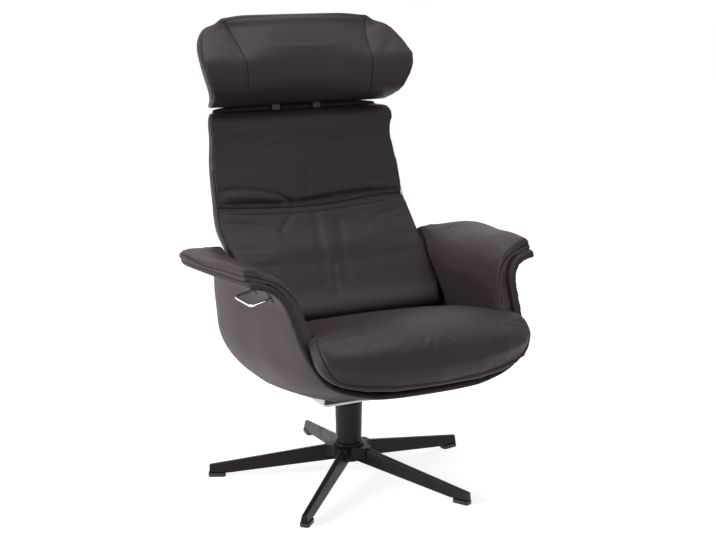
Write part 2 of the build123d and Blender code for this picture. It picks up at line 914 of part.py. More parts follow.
def cushion_section(share, scale):
    """The cushion's side view at a share of its half width."""
    bow = share * share
    sink = 9 * bow
    nose = seat_nose_y + 52 * bow
    piping_y = -425 + 14 * bow
    piping_rise = seat_piping_rise + 40 * bow * bow
    top = [
        (seat_rear, seat_rear_rise - sink),
        (-150, seat_rear_rise + 26 - sink),
        (-290, seat_roll_rise - 3 - sink),
        (-370, seat_roll_rise - 4 - sink),
        (nose + 18, seat_roll_rise - 22 - sink),
        (nose, seat_roll_rise - 52 - sink / 2),
        (nose + 10, piping_rise + 28),
        (piping_y, piping_rise),
    ]
    bottom = [
        (piping_y, piping_rise),
        (-330, piping_rise + 4),
        (seat_rear, board_z - shell_floor),
        (seat_rear, seat_rear_rise - sink),
    ]
    placed = []
    for points in (top, bottom):
        placed.append(
            [
                (roll_y + scale * (y - roll_y), shell_floor + roll_rise + scale * (z - roll_rise))
                for y, z in points
            ]
        )
    with BuildSketch(side.offset(share * seat_half_width)) as section:
        with BuildLine():
            Spline(*placed[0])
            Polyline(*placed[1])
        make_face()
    return section.sketch


cushion_sections = [cushion_section(-share, scale) for share, scale in cushion_stations[:0:-1]]
cushion_sections += [cushion_section(share, scale) for share, scale in cushion_stations]
with BuildPart() as whole_cushion:
    loft(sections=cushion_sections, ruled=True)
    add(outer_shell.part, mode=Mode.SUBTRACT)
    add(left_arm_pad.part, mode=Mode.SUBTRACT)
    add(right_arm_pad.part, mode=Mode.SUBTRACT)
    add(
        block(
            -seat_board_half_width,
            seat_board_half_width,
            -seat_board_front,
            seat_board_rear,
            chassis_floor,
            board_z + seat_board_thickness,
        ),
        mode=Mode.SUBTRACT,
    )
    add(
        block(-300, -225, cable_y - 5, cable_y + 5, chassis_floor, board_z + 130),
        mode=Mode.SUBTRACT,
    )
with BuildPart() as seat_cushion:
    add(whole_cushion.part.solids().sort_by(SortBy.VOLUME)[-1])
seat_cushion.part.label = "seat_cushion"
export_step(seat_cushion.part, "parts/seat_cushion.step")

# Gas strut: a cylinder on a pin between the chassis walls, and a rod with a piston and an
# eye. The eye has play on the backrest's crossbar, which swings on a slight arc
strut_cap = 5
strut_head_y = -strut_front - 25
cylinder_rear = -32
piston_length = 10
piston_y = -62
eye_bore = crossbar_radius + strut_play
eye_radius = eye_bore + 4
with BuildPart() as strut_cylinder:
    with BuildSketch(front.offset(strut_front - 10)):
        with Locations((0, strut_z)):
            Circle(strut_radius)
    extrude(amount=cylinder_rear + strut_front - 10, dir=(0, 1, 0))
    with BuildSketch(front.offset(strut_front - 10 - strut_cap)):
        with Locations((0, strut_z)):
            Circle(strut_radius - 2)
    extrude(amount=cylinder_rear + strut_front - 10 - 2 * strut_cap, dir=(0, 1, 0), mode=Mode.SUBTRACT)
    with BuildSketch(front.offset(strut_front - 10 - strut_cap)):
        with Locations((0, strut_z)):
            Circle(strut_rod_radius + running_gap)
    extrude(amount=strut_front, dir=(0, 1, 0), mode=Mode.SUBTRACT)
    add(block(-10, 10, strut_head_y, -strut_front + 10, strut_z - 9, strut_z + 9))
    add(rod(-strut_front, strut_z, -11, 11, crossbar_radius - 1), mode=Mode.SUBTRACT)
strut_cylinder.part.label = "strut_cylinder"
export_step(strut_cylinder.part, "parts/strut_cylinder.step")

with BuildPart() as strut_pin:
    pin_end = chassis_half_width + 3
    add(rod(-strut_front, strut_z, -pin_end, pin_end, crossbar_radius - 1))
strut_pin.part.label = "strut_pin"
export_step(strut_pin.part, "parts/strut_pin.step")

with BuildPart() as strut_rod:
    with BuildSketch(front.offset(-piston_y)):
        with Locations((0, strut_z)):
            Circle(strut_radius - 2 - running_gap)
    extrude(amount=piston_length, dir=(0, 1, 0))
    with BuildSketch(front.offset(-piston_y)):
        with Locations((0, strut_z)):
            Circle(strut_rod_radius)
    extrude(amount=strut_foot_y - piston_y - eye_bore - 1, dir=(0, 1, 0))
    add(rod(strut_foot_y, strut_z, -8, 8, eye_radius))
    add(rod(strut_foot_y, strut_z, -9, 9, eye_bore), mode=Mode.SUBTRACT)
strut_rod.part.label = "strut_rod"
export_step(strut_rod.part, "parts/strut_rod.step")

# Release lever: a closed loop of wire. Its inner run turns in the bracket's lugs and its
# outer run hangs a little lower, clear of the arm's flare
droop = radians(lever_droop)
lever_plane = Plane(
    origin=(lever_axis_x, axis_y, lever_axis_z),
    x_dir=(-cos(droop), 0, -sin(droop)),
    z_dir=(-sin(droop), 0, cos(droop)),
)
with BuildPart() as release_lever:
    with BuildLine(lever_plane) as loop:
        FilletPolyline(
            (0, -lever_front_y),
            (lever_reach, -lever_front_y),
            (lever_reach, -lever_rear_y),
            (0, -lever_rear_y),
            radius=lever_corner,
            close=True,
        )
    with BuildSketch(Plane(origin=loop.line @ 0, z_dir=loop.line % 0)):
        Circle(lever_wire)
    sweep()
release_lever.part.label = "release_lever"
export_step(release_lever.part, "parts/release_lever.step")

# Lever bracket: two lugs on the shell's inner wall that hold the loop's inner run
lug_half_width = 5
lug_places = (pocket_y - 22, pocket_y + 22)
with BuildPart() as lever_bracket:
    for y in lug_places:
        add(
            block(
                lever_axis_x - 40,
                lever_axis_x + 7,
                y - lug_half_width,
                y + lug_half_width,
                lever_axis_z - 9,
                lever_axis_z + 9,
            )
        )
    add(
        block(
            lever_axis_x - 40,
            lever_axis_x - 9,
            lug_places[0] - lug_half_width,
            lug_places[1] + lug_half_width,
            lever_axis_z - 9,
            lever_axis_z + 9,
        )
    )
    add(bucket_inside, mode=Mode.INTERSECT)
    with BuildSketch(front.offset(300)):
        with Locations((lever_axis_x, lever_axis_z)):
            Circle(lever_wire + running_gap)
    extrude(amount=400, dir=(0, 1, 0), mode=Mode.SUBTRACT)
lever_bracket.part.label = "lever_bracket"
export_step(lever_bracket.part, "parts/lever_bracket.step")

# Lever spring: a coil round the loop's inner run, between the lugs
spring_wire = 0.8
spring_pitch = 3
spring_length = 2 * 22 - 2 * lug_half_width - 4
spring_start_y = axis_y + pocket_y - spring_length / 2
with BuildPart() as lever_spring:
    with BuildLine() as coil:
        Helix(
            spring_pitch,
            spring_length,
            lever_wire + spring_wire + 0.4,
            center=(lever_axis_x, spring_start_y, lever_axis_z),
            direction=(0, 1, 0),
        )
    with BuildSketch(Plane(origin=coil.line @ 0, z_dir=coil.line % 0)):
        Circle(spring_wire)
    sweep(is_frenet=True)
lever_spring.part.label = "lever_spring"
export_step(lever_spring.part, "parts/lever_spring.step")

# Release cable: a sheathed cable from the lever's pocket down the shell's wall, under the
# seat board and along the front of the chassis to the strut's head
cable_route = [
    (-266, shell_floor + 266),
    (-262, shell_floor + 215),
    (-253.5, shell_floor + 165),
    (-240, shell_floor + 122),
    (-205, shell_floor + 84),
    (-150, shell_floor + 62),
    (-95, strut_z),
    (-10, strut_z),
]
cable_bend = 60
with BuildPart() as release_cable:
    with BuildLine(front.offset(-cable_y)) as cable_path:
        FilletPolyline(*cable_route, radius=cable_bend)
    with BuildSketch(Plane(origin=cable_path.line @ 0, z_dir=cable_path.line % 0)):
        Circle(cable_radius)
    sweep()
release_cable.part.label = "release_cable"
export_step(release_cable.part, "parts/release_cable.step")

# Recline pins: headed pins in the chassis ears, on which the backrest's eyes turn
pin_head = 3.5
upright_outer = upright_x + upright_width
with BuildPart() as recline_pins:
    for sign in (1, -1):
        inner = sign * (chassis_half_width - chassis_wall)
        outer = sign * (upright_outer + 0.5)
        head = sign * (upright_outer + 0.5 + pin_head)
        add(rod(recline_y, recline_z, min(inner, outer), max(inner, outer), recline_pin_radius))
        add(rod(recline_y, recline_z, min(outer, head), max(outer, head), recline_pin_radius + 4))
recline_pins.part.label = "recline_pins"
export_step(recline_pins.part, "parts/recline_pins.step")

# Backrest body: level sections with a bowed front face between the side seams and a
# rounded rear. Each level is (height above the shell's floor, half width, depth of the
# side seams, forward bow, depth of the rear)
back_levels = [
    (171, 240, -30, 1, 225),
    (215, 246, -5, 1, 243),
    (265, 250, 45, 4, 268),
    (315, 253, 100, 8, 288),
    (348, 258, 142, 10, 300),
    (399, 254, 185, 12, 317),
    (455, 251, 207, 12, 329),
    (513, 248, 226, 12, 334),
    (572, 243, 238, 12, 334),
    (back_top, 237, 256, 8, 326),
]
back_roundness = 2.6
rear_points = 9


def back_outline(height, half_width, seam_y, bow, rear_y, roundness, plane):
    """A level section: an arc across the front and a rounded line round the rear."""
    depth = rear_y - seam_y
    rear = []
    for i in range(rear_points + 1):
        turn = pi * i / rear_points
        across = cos(turn)
        size = (abs(across) ** roundness + abs(sin(turn)) ** roundness) ** (-1 / roundness)
        rear.append((half_width * across * size, seam_y + depth * sin(turn) * size))
    with BuildSketch(plane.offset(height)) as outline:
        with BuildLine():
            ThreePointArc((-half_width, seam_y), (0, seam_y - bow), (half_width, seam_y))
            Spline(*rear)
        make_face()
    return outline.sketch


shell_level = plan.offset(shell_floor)


def backrest(inset, top):
    """The backrest's whole body, moved inwards by an inset."""
    sections = []
    for height, half_width, seam_y, bow, rear_y in back_levels:
        level = min(height, top)
        sections.append(
            back_outline(
                level,
                half_width - inset,
                seam_y,
                bow,
                rear_y - inset,
                back_roundness,
                shell_level,
            )
        )
    with BuildPart() as body:
        loft(sections=sections)
    return body.part


back_outside = backrest(0, back_top)
back_hollow = backrest(cover_wall, back_top - cover_wall)

# The uprights' front face, seen from the side: it rises behind the lumbar and then
# follows the line on which the headrest slides
lean = tan(radians(slide_lean))


def slide_y(z):
    """The depth of the rails' middle at a height."""
    return pivot_y + (z - pivot_z) * lean


upright_face_offset = 0.4
upright_top_z = pivot_z - 48
straight_from_z = shell_floor + 520
spine = [
    (recline_y + 2, shell_floor + 171),
    (88, shell_floor + 215),
    (124, shell_floor + 265),
    (168, shell_floor + 320),
    (204, shell_floor + 365),
    (232, shell_floor + 410),
    (251, shell_floor + 445),
    (262, shell_floor + 480),
    (slide_y(straight_from_z) - upright_face_offset, straight_from_z),
]
spine_top = (slide_y(pivot_z) - upright_face_offset, pivot_z)


def behind_spine(gap, x_from, x_to):
    """The space behind the uprights' front face, moved back by a gap."""
    with BuildPart() as space:
        with BuildSketch(side.offset(x_from)):
            with BuildLine():
                Spline(*[(y + gap, z) for y, z in spine])
                Polyline(
                    (spine[-1][0] + gap, spine[-1][1]),
                    (spine_top[0] + gap, spine_top[1]),
                    (450, spine_top[1]),
                    (450, shell_floor + 150),
                    (spine[0][0] + gap, shell_floor + 150),
                    (spine[0][0] + gap, spine[0][1]),
                )
            make_face()
        extrude(amount=x_to - x_from, dir=(1, 0, 0))
    return space.part


# Sleeve and rail places, measured along and across the slide line from the pivot
slide_plane = Plane(
    origin=(0, axis_y + pivot_y, pivot_z),
    x_dir=(1, 0, 0),
    z_dir=(0, sin(radians(slide_lean)), cos(radians(slide_lean))),
)


def along_slide(x_from, x_to, behind_from, behind_to, below_from, below_to):
    """A block in the slide's own directions. Heights are counted down from the pivot."""
    with BuildPart() as body:
        with BuildSketch(slide_plane.offset(-below_to)):
            with Locations(((x_from + x_to) / 2, (behind_from + behind_to) / 2)):
                Rectangle(x_to - x_from, behind_to - behind_from)
        extrude(amount=below_to - below_from)
    return body.part


sleeve_half_depth = rail_thickness / 2 + sleeve_gap + sleeve_wall
sleeve_inner = rail_x - sleeve_gap - sleeve_wall
sleeve_outer = rail_x + rail_width + sleeve_gap + sleeve_wall

# Back cushion: the backrest's front, with a hollow for the rails and their sleeves
cushion_gap = 0.1
with BuildPart() as back_cushion:
    add(back_outside)
    add(behind_spine(-cushion_gap, -300, 300), mode=Mode.SUBTRACT)
    add(
        along_slide(
            -sleeve_outer - 3,
            sleeve_outer + 3,
            -sleeve_half_depth - 0.5,
            30,
            -60,
            rail_length + 12,
        ),
        mode=Mode.SUBTRACT,
    )
back_cushion.part.label = "back_cushion"
export_step(back_cushion.part, "parts/back_cushion.step")

# Back cover: a moulded shell round the rear and sides, closed at the top but for two
# slots for the rails, and open below for the uprights
cover_bottom = 190
rail_slot_gap = 1.5
with BuildPart() as back_cover:
    add(back_outside)
    add(back_hollow, mode=Mode.SUBTRACT)
    add(behind_spine(0, -300, 300), mode=Mode.INTERSECT)
    add(
        block(-300, 300, -100, 450, shell_floor + 100, shell_floor + cover_bottom),
        mode=Mode.SUBTRACT,
    )
    for x in (rail_x, -rail_x - rail_width):
        add(
            along_slide(
                x - rail_slot_gap,
                x + rail_width + rail_slot_gap,
                -rail_thickness / 2 - rail_slot_gap - 3,
                rail_thickness / 2 + rail_slot_gap,
                -60,
                80,
            ),
            mode=Mode.SUBTRACT,
        )
back_cover.part.label = "back_cover"
export_step(back_cover.part, "parts/back_cover.step")

# Back uprights: two flat steel bars from the recline eyes up to the guide plate, each
# with a short lower arm that carries the crossbar
arm_band = 8
with BuildPart() as back_uprights:
    for x in (upright_x, -upright_x - upright_width):
        add(behind_spine(0, x, x + upright_width))
        add(behind_spine(upright_thickness, x, x + upright_width), mode=Mode.SUBTRACT)
        with BuildSketch(side.offset(x)):
            with BuildLine():
                Polyline(
                    (spine[0][0], recline_z),
                    (spine[0][0] + upright_thickness, recline_z),
                    (spine[0][0] + upright_thickness, spine[0][1]),
                    (spine[0][0], spine[0][1]),
                    close=True,
                )
            make_face()
            with BuildLine():
                Polyline(
                    (recline_y - arm_band, recline_z),
                    (recline_y + arm_band, recline_z),
                    (strut_foot_y + arm_band, strut_z),
                    (strut_foot_y - arm_band, strut_z),
                    close=True,
                )
            make_face()
            with Locations((recline_y, recline_z)):
                Circle(upright_eye)
            with Locations((strut_foot_y, strut_z)):
                Circle(arm_band + 2)
        extrude(amount=upright_width, dir=(1, 0, 0))
        reach = (x - 1, x + upright_width + 1)
        add(rod(recline_y, recline_z, *reach, recline_pin_radius + 2.5), mode=Mode.SUBTRACT)
        add(rod(strut_foot_y, strut_z, *reach, crossbar_radius), mode=Mode.SUBTRACT)
    add(
        block(-300, 300, -200, 500, upright_top_z, upright_top_z + 200),
        mode=Mode.SUBTRACT,
    )
back_uprights.part.label = "back_uprights"
export_step(back_uprights.part, "parts/back_uprights.step")

# Recline bushes: pressed in the uprights' eyes, turning on the recline pins
with BuildPart() as recline_bushes:
    for x in (upright_x, -upright_x - upright_width):
        add(rod(recline_y, recline_z, x, x + upright_width, recline_pin_radius + 2.5))
    for x in (upright_x, -upright_x - upright_width):
        add(
            rod(
                recline_y,
                recline_z,
                x - 1,
                x + upright_width + 1,
                recline_pin_radius + running_gap,
            ),
            mode=Mode.SUBTRACT,
        )
recline_bushes.part.label = "recline_bushes"
export_step(recline_bushes.part, "parts/recline_bushes.step")

# Back crossbar: joins the uprights' lower ends and passes through the strut's eye
with BuildPart() as back_crossbar:
    add(rod(strut_foot_y, strut_z, -upright_outer, upright_outer, crossbar_radius))
back_crossbar.part.label = "back_crossbar"
export_step(back_crossbar.part, "parts/back_crossbar.step")

# Guide plate: welded across the uprights' rear faces, it carries the rails' sleeves
plate_front = sleeve_half_depth
with BuildPart() as guide_plate:
    add(
        along_slide(
            -upright_outer,
            upright_outer,
            plate_front,
            plate_front + guide_plate_thickness,
            50,
            sleeve_top + sleeve_length + 6,
        )
    )
guide_plate.part.label = "guide_plate"
export_step(guide_plate.part, "parts/guide_plate.step")

# Headrest guides: plastic sleeves on the plate, with a sliding fit on the rails
with BuildPart() as headrest_guides:
    for sign in (1, -1):
        edges = sorted((sign * sleeve_inner, sign * sleeve_outer))
        add(
            along_slide(
                *edges,
                -sleeve_half_depth,
                sleeve_half_depth,
                sleeve_top + 15,
                sleeve_top + sleeve_length,
            )
        )
        holes = sorted((sign * (rail_x - sleeve_gap), sign * (rail_x + rail_width + sleeve_gap)))
        add(
            along_slide(
                *holes,
                -rail_thickness / 2 - sleeve_gap,
                rail_thickness / 2 + sleeve_gap,
                0,
                2 * sleeve_length,
            ),
            mode=Mode.SUBTRACT,
        )
headrest_guides.part.label = "headrest_guides"
export_step(headrest_guides.part, "parts/headrest_guides.step")

# Headrest rails: two flat bars with eyes on the headrest's pin
rail_eye = 9
with BuildPart() as headrest_rails:
    for x in (rail_x, -rail_x - rail_width):
        add(
            along_slide(
                x,
                x + rail_width,
                -rail_thickness / 2,
                rail_thickness / 2,
                0,
                rail_length,
            )
        )
        add(rod(pivot_y, pivot_z, x, x + rail_width, rail_eye))
        add(rod(pivot_y, pivot_z, x - 1, x + rail_width + 1, pivot_radius), mode=Mode.SUBTRACT)
headrest_rails.part.label = "headrest_rails"
export_step(headrest_rails.part, "parts/headrest_rails.step")

# Rail bridge: joins the rails' feet and stops them under the sleeves
bridge_height = 20
with BuildPart() as rail_bridge:
    add(
        along_slide(
            -rail_x,
            rail_x,
            -rail_thickness / 2,
            rail_thickness / 2,
            rail_length - bridge_height,
            rail_length,
        )
    )
rail_bridge.part.label = "rail_bridge"
export_step(rail_bridge.part, "parts/rail_bridge.step")

# Headrest pin: joins both rails' eyes, its ends carry the headrest's lugs
with BuildPart() as headrest_pin:
    pin_half = lug_x + lug_thickness + 2
    add(rod(pivot_y, pivot_z, -pin_half, pin_half, pivot_radius))
headrest_pin.part.label = "headrest_pin"
export_step(headrest_pin.part, "parts/headrest_pin.step")

# Headrest body: level sections as in the backrest, with wings that reach forwards, so
# that the bow of the front face is negative at mid height
head_levels = [
    (643, 235, 262, 2, 329),
    (662, 249, 216, -12, 338),
    (690, 261, 184, -20, 343),
    (722, 273, 177, -22, 346),
    (757, 280, 187, -18, 346),
    (785, 276, 222, -6, 343),
    (812, 259, 254, 4, 338),
    (832, 226, 271, 4, 332),
    (848, 205, 279, 2, 326),
    (855, 188, 290, 1, 314),
]
head_roundness = 2.4
head_sections = [
    back_outline(height, half_width, seam_y, bow, rear_y, head_roundness, shell_level)
    for height, half_width, seam_y, bow, rear_y in head_levels
]
with BuildPart() as headrest_body:
    loft(sections=head_sections)
pocket_top = pivot_rise + 20

# Headrest core: a board between the front and rear padding, with two lugs on the pin
core_bottom = shell_floor + pocket_top - 3
core_top = shell_floor + 835
core_half_width = 170
core_front = head_split_y - head_core_thickness / 2
with BuildPart() as headrest_core:
    add(
        block(
            -core_half_width,
            core_half_width,
            core_front,
            core_front + head_core_thickness,
            core_bottom,
            core_top,
        )
    )
    for x in (lug_x, -lug_x - lug_thickness):
        with BuildSketch(side.offset(x)):
            with Locations((pivot_y, pivot_z)):
                Circle(rail_eye)
            with BuildLine():
                Polyline(
                    (pivot_y - rail_eye, pivot_z),
                    (pivot_y + rail_eye, pivot_z),
                    (core_front + head_core_thickness, shell_floor + pocket_top),
                    (core_front, shell_floor + pocket_top),
                    close=True,
                )
            make_face()
        extrude(amount=lug_thickness, dir=(1, 0, 0))
        add(
            rod(pivot_y, pivot_z, x - 1, x + lug_thickness + 1, pivot_radius + running_gap),
            mode=Mode.SUBTRACT,
        )
headrest_core.part.label = "headrest_core"
export_step(headrest_core.part, "parts/headrest_core.step")

# Headrest cushions: padding in front of and behind the core, split on one plane, with a
# pocket below for the rails, the pin and the lugs
pocket = block(
    -lug_x - lug_thickness - 6,
    lug_x + lug_thickness + 6,
    pivot_y - 22,
    pivot_y + 28,
    shell_floor + 600,
    shell_floor + pocket_top,
)
core_space = block(
    -core_half_width,
    core_half_width,
    core_front,
    core_front + head_core_thickness,
    shell_floor + pocket_top - 3,
    core_top,
)
with BuildPart() as headrest_cushion:
    add(headrest_body.part)
    add(
        block(-400, 400, head_split_y, 600, shell_floor + 500, shell_floor + 1000),
        mode=Mode.SUBTRACT,
    )
    add(core_space, mode=Mode.SUBTRACT)
    add(pocket, mode=Mode.SUBTRACT)
headrest_cushion.part.label = "headrest_cushion"
export_step(headrest_cushion.part, "parts/headrest_cushion.step")

with BuildPart() as headrest_cover:
    add(headrest_body.part)
    add(
        block(-400, 400, -200, head_split_y, shell_floor + 500, shell_floor + 1000),
        mode=Mode.SUBTRACT,
    )
    add(core_space, mode=Mode.SUBTRACT)
    add(pocket, mode=Mode.SUBTRACT)
headrest_cover.part.label = "headrest_cover"
export_step(headrest_cover.part, "parts/headrest_cover.step")
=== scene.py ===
import math
import bmesh
import bpy
import numpy as np
from mathutils import Euler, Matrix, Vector
from mathutils.bvhtree import BVHTree
from mathutils.kdtree import KDTree


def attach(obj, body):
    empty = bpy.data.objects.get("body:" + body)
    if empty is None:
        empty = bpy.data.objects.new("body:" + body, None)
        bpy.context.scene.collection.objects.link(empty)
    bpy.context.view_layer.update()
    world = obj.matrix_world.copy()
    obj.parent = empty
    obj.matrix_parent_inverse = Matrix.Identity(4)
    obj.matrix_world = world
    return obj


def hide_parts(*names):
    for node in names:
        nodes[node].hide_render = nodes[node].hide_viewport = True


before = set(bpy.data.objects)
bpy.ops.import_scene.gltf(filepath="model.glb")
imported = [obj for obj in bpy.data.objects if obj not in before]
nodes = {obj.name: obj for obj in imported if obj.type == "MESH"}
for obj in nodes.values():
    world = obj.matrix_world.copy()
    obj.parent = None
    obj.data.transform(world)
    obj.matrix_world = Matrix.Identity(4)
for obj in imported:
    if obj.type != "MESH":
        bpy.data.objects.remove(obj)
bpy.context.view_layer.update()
scene = bpy.context.scene

# The studio: a seamless pale floor, a white surround, three soft lamps and the camera,
# which stands at the sitter's right front, a little above the headrest's height.
scene.view_settings.view_transform = "Standard"
camera_data = bpy.data.cameras.new("camera")
camera_data.lens = 72.2
camera_data.sensor_width = 36
camera = bpy.data.objects.new("camera", camera_data)
camera.location = (-1.480, -2.884, 1.269)
camera.rotation_euler = Euler((math.radians(77.0), 0, math.radians(-27.12)))
scene.collection.objects.link(camera)
scene.camera = camera


def seen_directly(tree):
    """1 for rays from the camera and for mirrored or refracted ones, else 0."""
    path = tree.nodes.new("ShaderNodeLightPath")
    glossy = tree.nodes.new("ShaderNodeMath")
    glossy.operation = "MAXIMUM"
    tree.links.new(path.outputs["Is Glossy Ray"], glossy.inputs[0])
    tree.links.new(path.outputs["Is Transmission Ray"], glossy.inputs[1])
    either = tree.nodes.new("ShaderNodeMath")
    either.operation = "MAXIMUM"
    tree.links.new(path.outputs["Is Camera Ray"], either.inputs[0])
    tree.links.new(glossy.outputs[0], either.inputs[1])
    return either.outputs[0]


world = bpy.data.worlds.new("studio")
scene.world = world
world.use_nodes = True
tree = world.node_tree
tree.nodes.clear()
surround = tree.nodes.new("ShaderNodeBackground")
surround.inputs["Color"].default_value = (1, 1, 1, 1)
surround.inputs["Strength"].default_value = 1.0
ambient = tree.nodes.new("ShaderNodeBackground")
ambient.inputs["Color"].default_value = (1, 1, 1, 1)
ambient.inputs["Strength"].default_value = 0.30
mix = tree.nodes.new("ShaderNodeMixShader")
world_out = tree.nodes.new("ShaderNodeOutputWorld")
tree.links.new(seen_directly(tree), mix.inputs[0])
tree.links.new(ambient.outputs[0], mix.inputs[1])
tree.links.new(surround.outputs[0], mix.inputs[2])
tree.links.new(mix.outputs[0], world_out.inputs["Surface"])

floor_material = bpy.data.materials.new("studio_floor")
floor_material.use_nodes = True
tree = floor_material.node_tree
tree.nodes.clear()
matt = tree.nodes.new("ShaderNodeBsdfDiffuse")
matt.inputs["Color"].default_value = (0.86, 0.86, 0.86, 1)
glow = tree.nodes.new("ShaderNodeEmission")
glow.inputs["Color"].default_value = (1, 1, 1, 1)
glow.inputs["Strength"].default_value = 0.74
lit = tree.nodes.new("ShaderNodeAddShader")
mix = tree.nodes.new("ShaderNodeMixShader")
floor_out = tree.nodes.new("ShaderNodeOutputMaterial")
tree.links.new(matt.outputs[0], lit.inputs[0])
tree.links.new(glow.outputs[0], lit.inputs[1])
tree.links.new(seen_directly(tree), mix.inputs[0])
tree.links.new(matt.outputs[0], mix.inputs[1])
tree.links.new(lit.outputs[0], mix.inputs[2])
tree.links.new(mix.outputs[0], floor_out.inputs["Surface"])

floor_mesh = bpy.data.meshes.new("floor")
floor_half = 14
floor_signs = [(-1, -1), (1, -1), (1, 1), (-1, 1)]
floor_corners = [(x * floor_half, y * floor_half, 0) for x, y in floor_signs]
floor_mesh.from_pydata(floor_corners, [], [(0, 1, 2, 3)])
floor_mesh.materials.append(floor_material)
floor = bpy.data.objects.new("floor", floor_mesh)
scene.collection.objects.link(floor)

lamp_target = Vector((0, 0, 0.55))
lamps = [
    ("key_lamp", (-2.65, 0.1, 0.95), 1.3, 48),
    ("fill_lamp", (0.8, -3.4, 1.6), 2.0, 13),
    ("top_lamp", (0.0, 0.2, 3.2), 1.8, 42),
]
for lamp_name, place, width, power in lamps:
    lamp_data = bpy.data.lights.new(lamp_name, "AREA")
    lamp_data.size = width
    lamp_data.energy = power
    lamp = bpy.data.objects.new(lamp_name, lamp_data)
    lamp.location = place
    lamp.rotation_euler = (lamp_target - Vector(place)).to_track_quat("-Z", "Y").to_euler()
    scene.collection.objects.link(lamp)

# The star base: one aluminium casting of five tapering arms and a webbed hub, with the
# column pressed into it. Both have the same satin black powder coat, which is a little
# uneven, slightly lighter on the arms' ridges and dusty on what faces up.


def node_group(name, inputs):
    """An empty shader group. Its inputs are (name, kind, default), and its outputs are
    the three that every finish has."""
    group = bpy.data.node_groups.new(name, "ShaderNodeTree")
    for socket_name, kind, default in inputs:
        socket = group.interface.new_socket(name=socket_name, in_out="INPUT", socket_type=kind)
        socket.default_value = default
    for socket_name, kind in (
        ("Colour", "NodeSocketColor"),
        ("Roughness", "NodeSocketFloat"),
        ("Height", "NodeSocketFloat"),
    ):
        group.interface.new_socket(name=socket_name, in_out="OUTPUT", socket_type=kind)
    return group, group.nodes.new("NodeGroupInput"), group.nodes.new("NodeGroupOutput")


def noise(tree, scale, detail, place, distortion=0.0, roughness=0.5):
    """The value of a noise texture at a place."""
    texture = tree.nodes.new("ShaderNodeTexNoise")
    texture.inputs["Scale"].default_value = scale
    texture.inputs["Detail"].default_value = detail
    texture.inputs["Distortion"].default_value = distortion
    texture.inputs["Roughness"].default_value = roughness
    tree.links.new(place, texture.inputs["Vector"])
    return texture.outputs["Fac"]


def ramp(tree, value, low, high, to_low=0.0, to_high=1.0):
    """The value, mapped in a smooth step from one range to another."""
    step = tree.nodes.new("ShaderNodeMapRange")
    step.interpolation_type = "SMOOTHSTEP"
    step.inputs["From Min"].default_value = low
    step.inputs["From Max"].default_value = high
    step.inputs["To Min"].default_value = to_low
    step.inputs["To Max"].default_value = to_high
    tree.links.new(value, step.inputs["Value"])
    return step.outputs["Result"]


def sum_of(tree, terms):
    """The sum of value sockets, each with its own weight."""
    total = None
    for value, weight in terms:
        part = tree.nodes.new("ShaderNodeMath")
        part.operation = "MULTIPLY_ADD"
        part.inputs[1].default_value = weight
        part.inputs[2].default_value = 0.0
        tree.links.new(value, part.inputs[0])
        if total is not None:
            tree.links.new(total, part.inputs[2])
        total = part.outputs[0]
    return total


def tint(tree, mask, below, above):
    """A colour between two, by a mask. Each colour is a socket or plain numbers."""
    mixer = tree.nodes.new("ShaderNodeMix")
    mixer.data_type = "RGBA"
    tree.links.new(mask, mixer.inputs["Factor"])
    for colour, socket in ((below, mixer.inputs[6]), (above, mixer.inputs[7])):
        if isinstance(colour, tuple):
            socket.default_value = (*colour, 1)
        else:
            tree.links.new(colour, socket)
    return mixer.outputs[2]


def product(tree, one, two):
    """The product of two value sockets."""
    part = tree.nodes.new("ShaderNodeMath")
    part.operation = "MULTIPLY"
    tree.links.new(one, part.inputs[0])
    tree.links.new(two, part.inputs[1])
    return part.outputs[0]


coat_group, coat_in, coat_out = node_group(
    "powder_coat",
    [("Colour", "NodeSocketColor", (0.03, 0.03, 0.03, 1)), ("Dust", "NodeSocketFloat", 0.5)],
)
where = coat_group.nodes.new("ShaderNodeTexCoord").outputs["Object"]
facing = coat_group.nodes.new("ShaderNodeNewGeometry")
split = coat_group.nodes.new("ShaderNodeSeparateXYZ")
coat_group.links.new(facing.outputs["Normal"], split.inputs[0])
patches = ramp(coat_group, noise(coat_group, 22, 6, where, roughness=0.65), 0.42, 0.72)
upward = ramp(coat_group, split.outputs["Z"], 0.55, 1.0)
dust = product(coat_group, product(coat_group, patches, upward), coat_in.outputs["Dust"])
dust_colour = (0.16, 0.15, 0.14)
coat_group.links.new(
    tint(coat_group, dust, coat_in.outputs["Colour"], dust_colour), coat_out.inputs["Colour"]
)
peel = noise(coat_group, 420, 3, where)
cloud = noise(coat_group, 35, 4, where)
satin = ramp(coat_group, cloud, 0.3, 0.7, 0.30, 0.42)
coat_group.links.new(
    sum_of(coat_group, [(satin, 1.0), (dust, 0.25)]), coat_out.inputs["Roughness"]
)
coat_group.links.new(peel, coat_out.inputs["Height"])


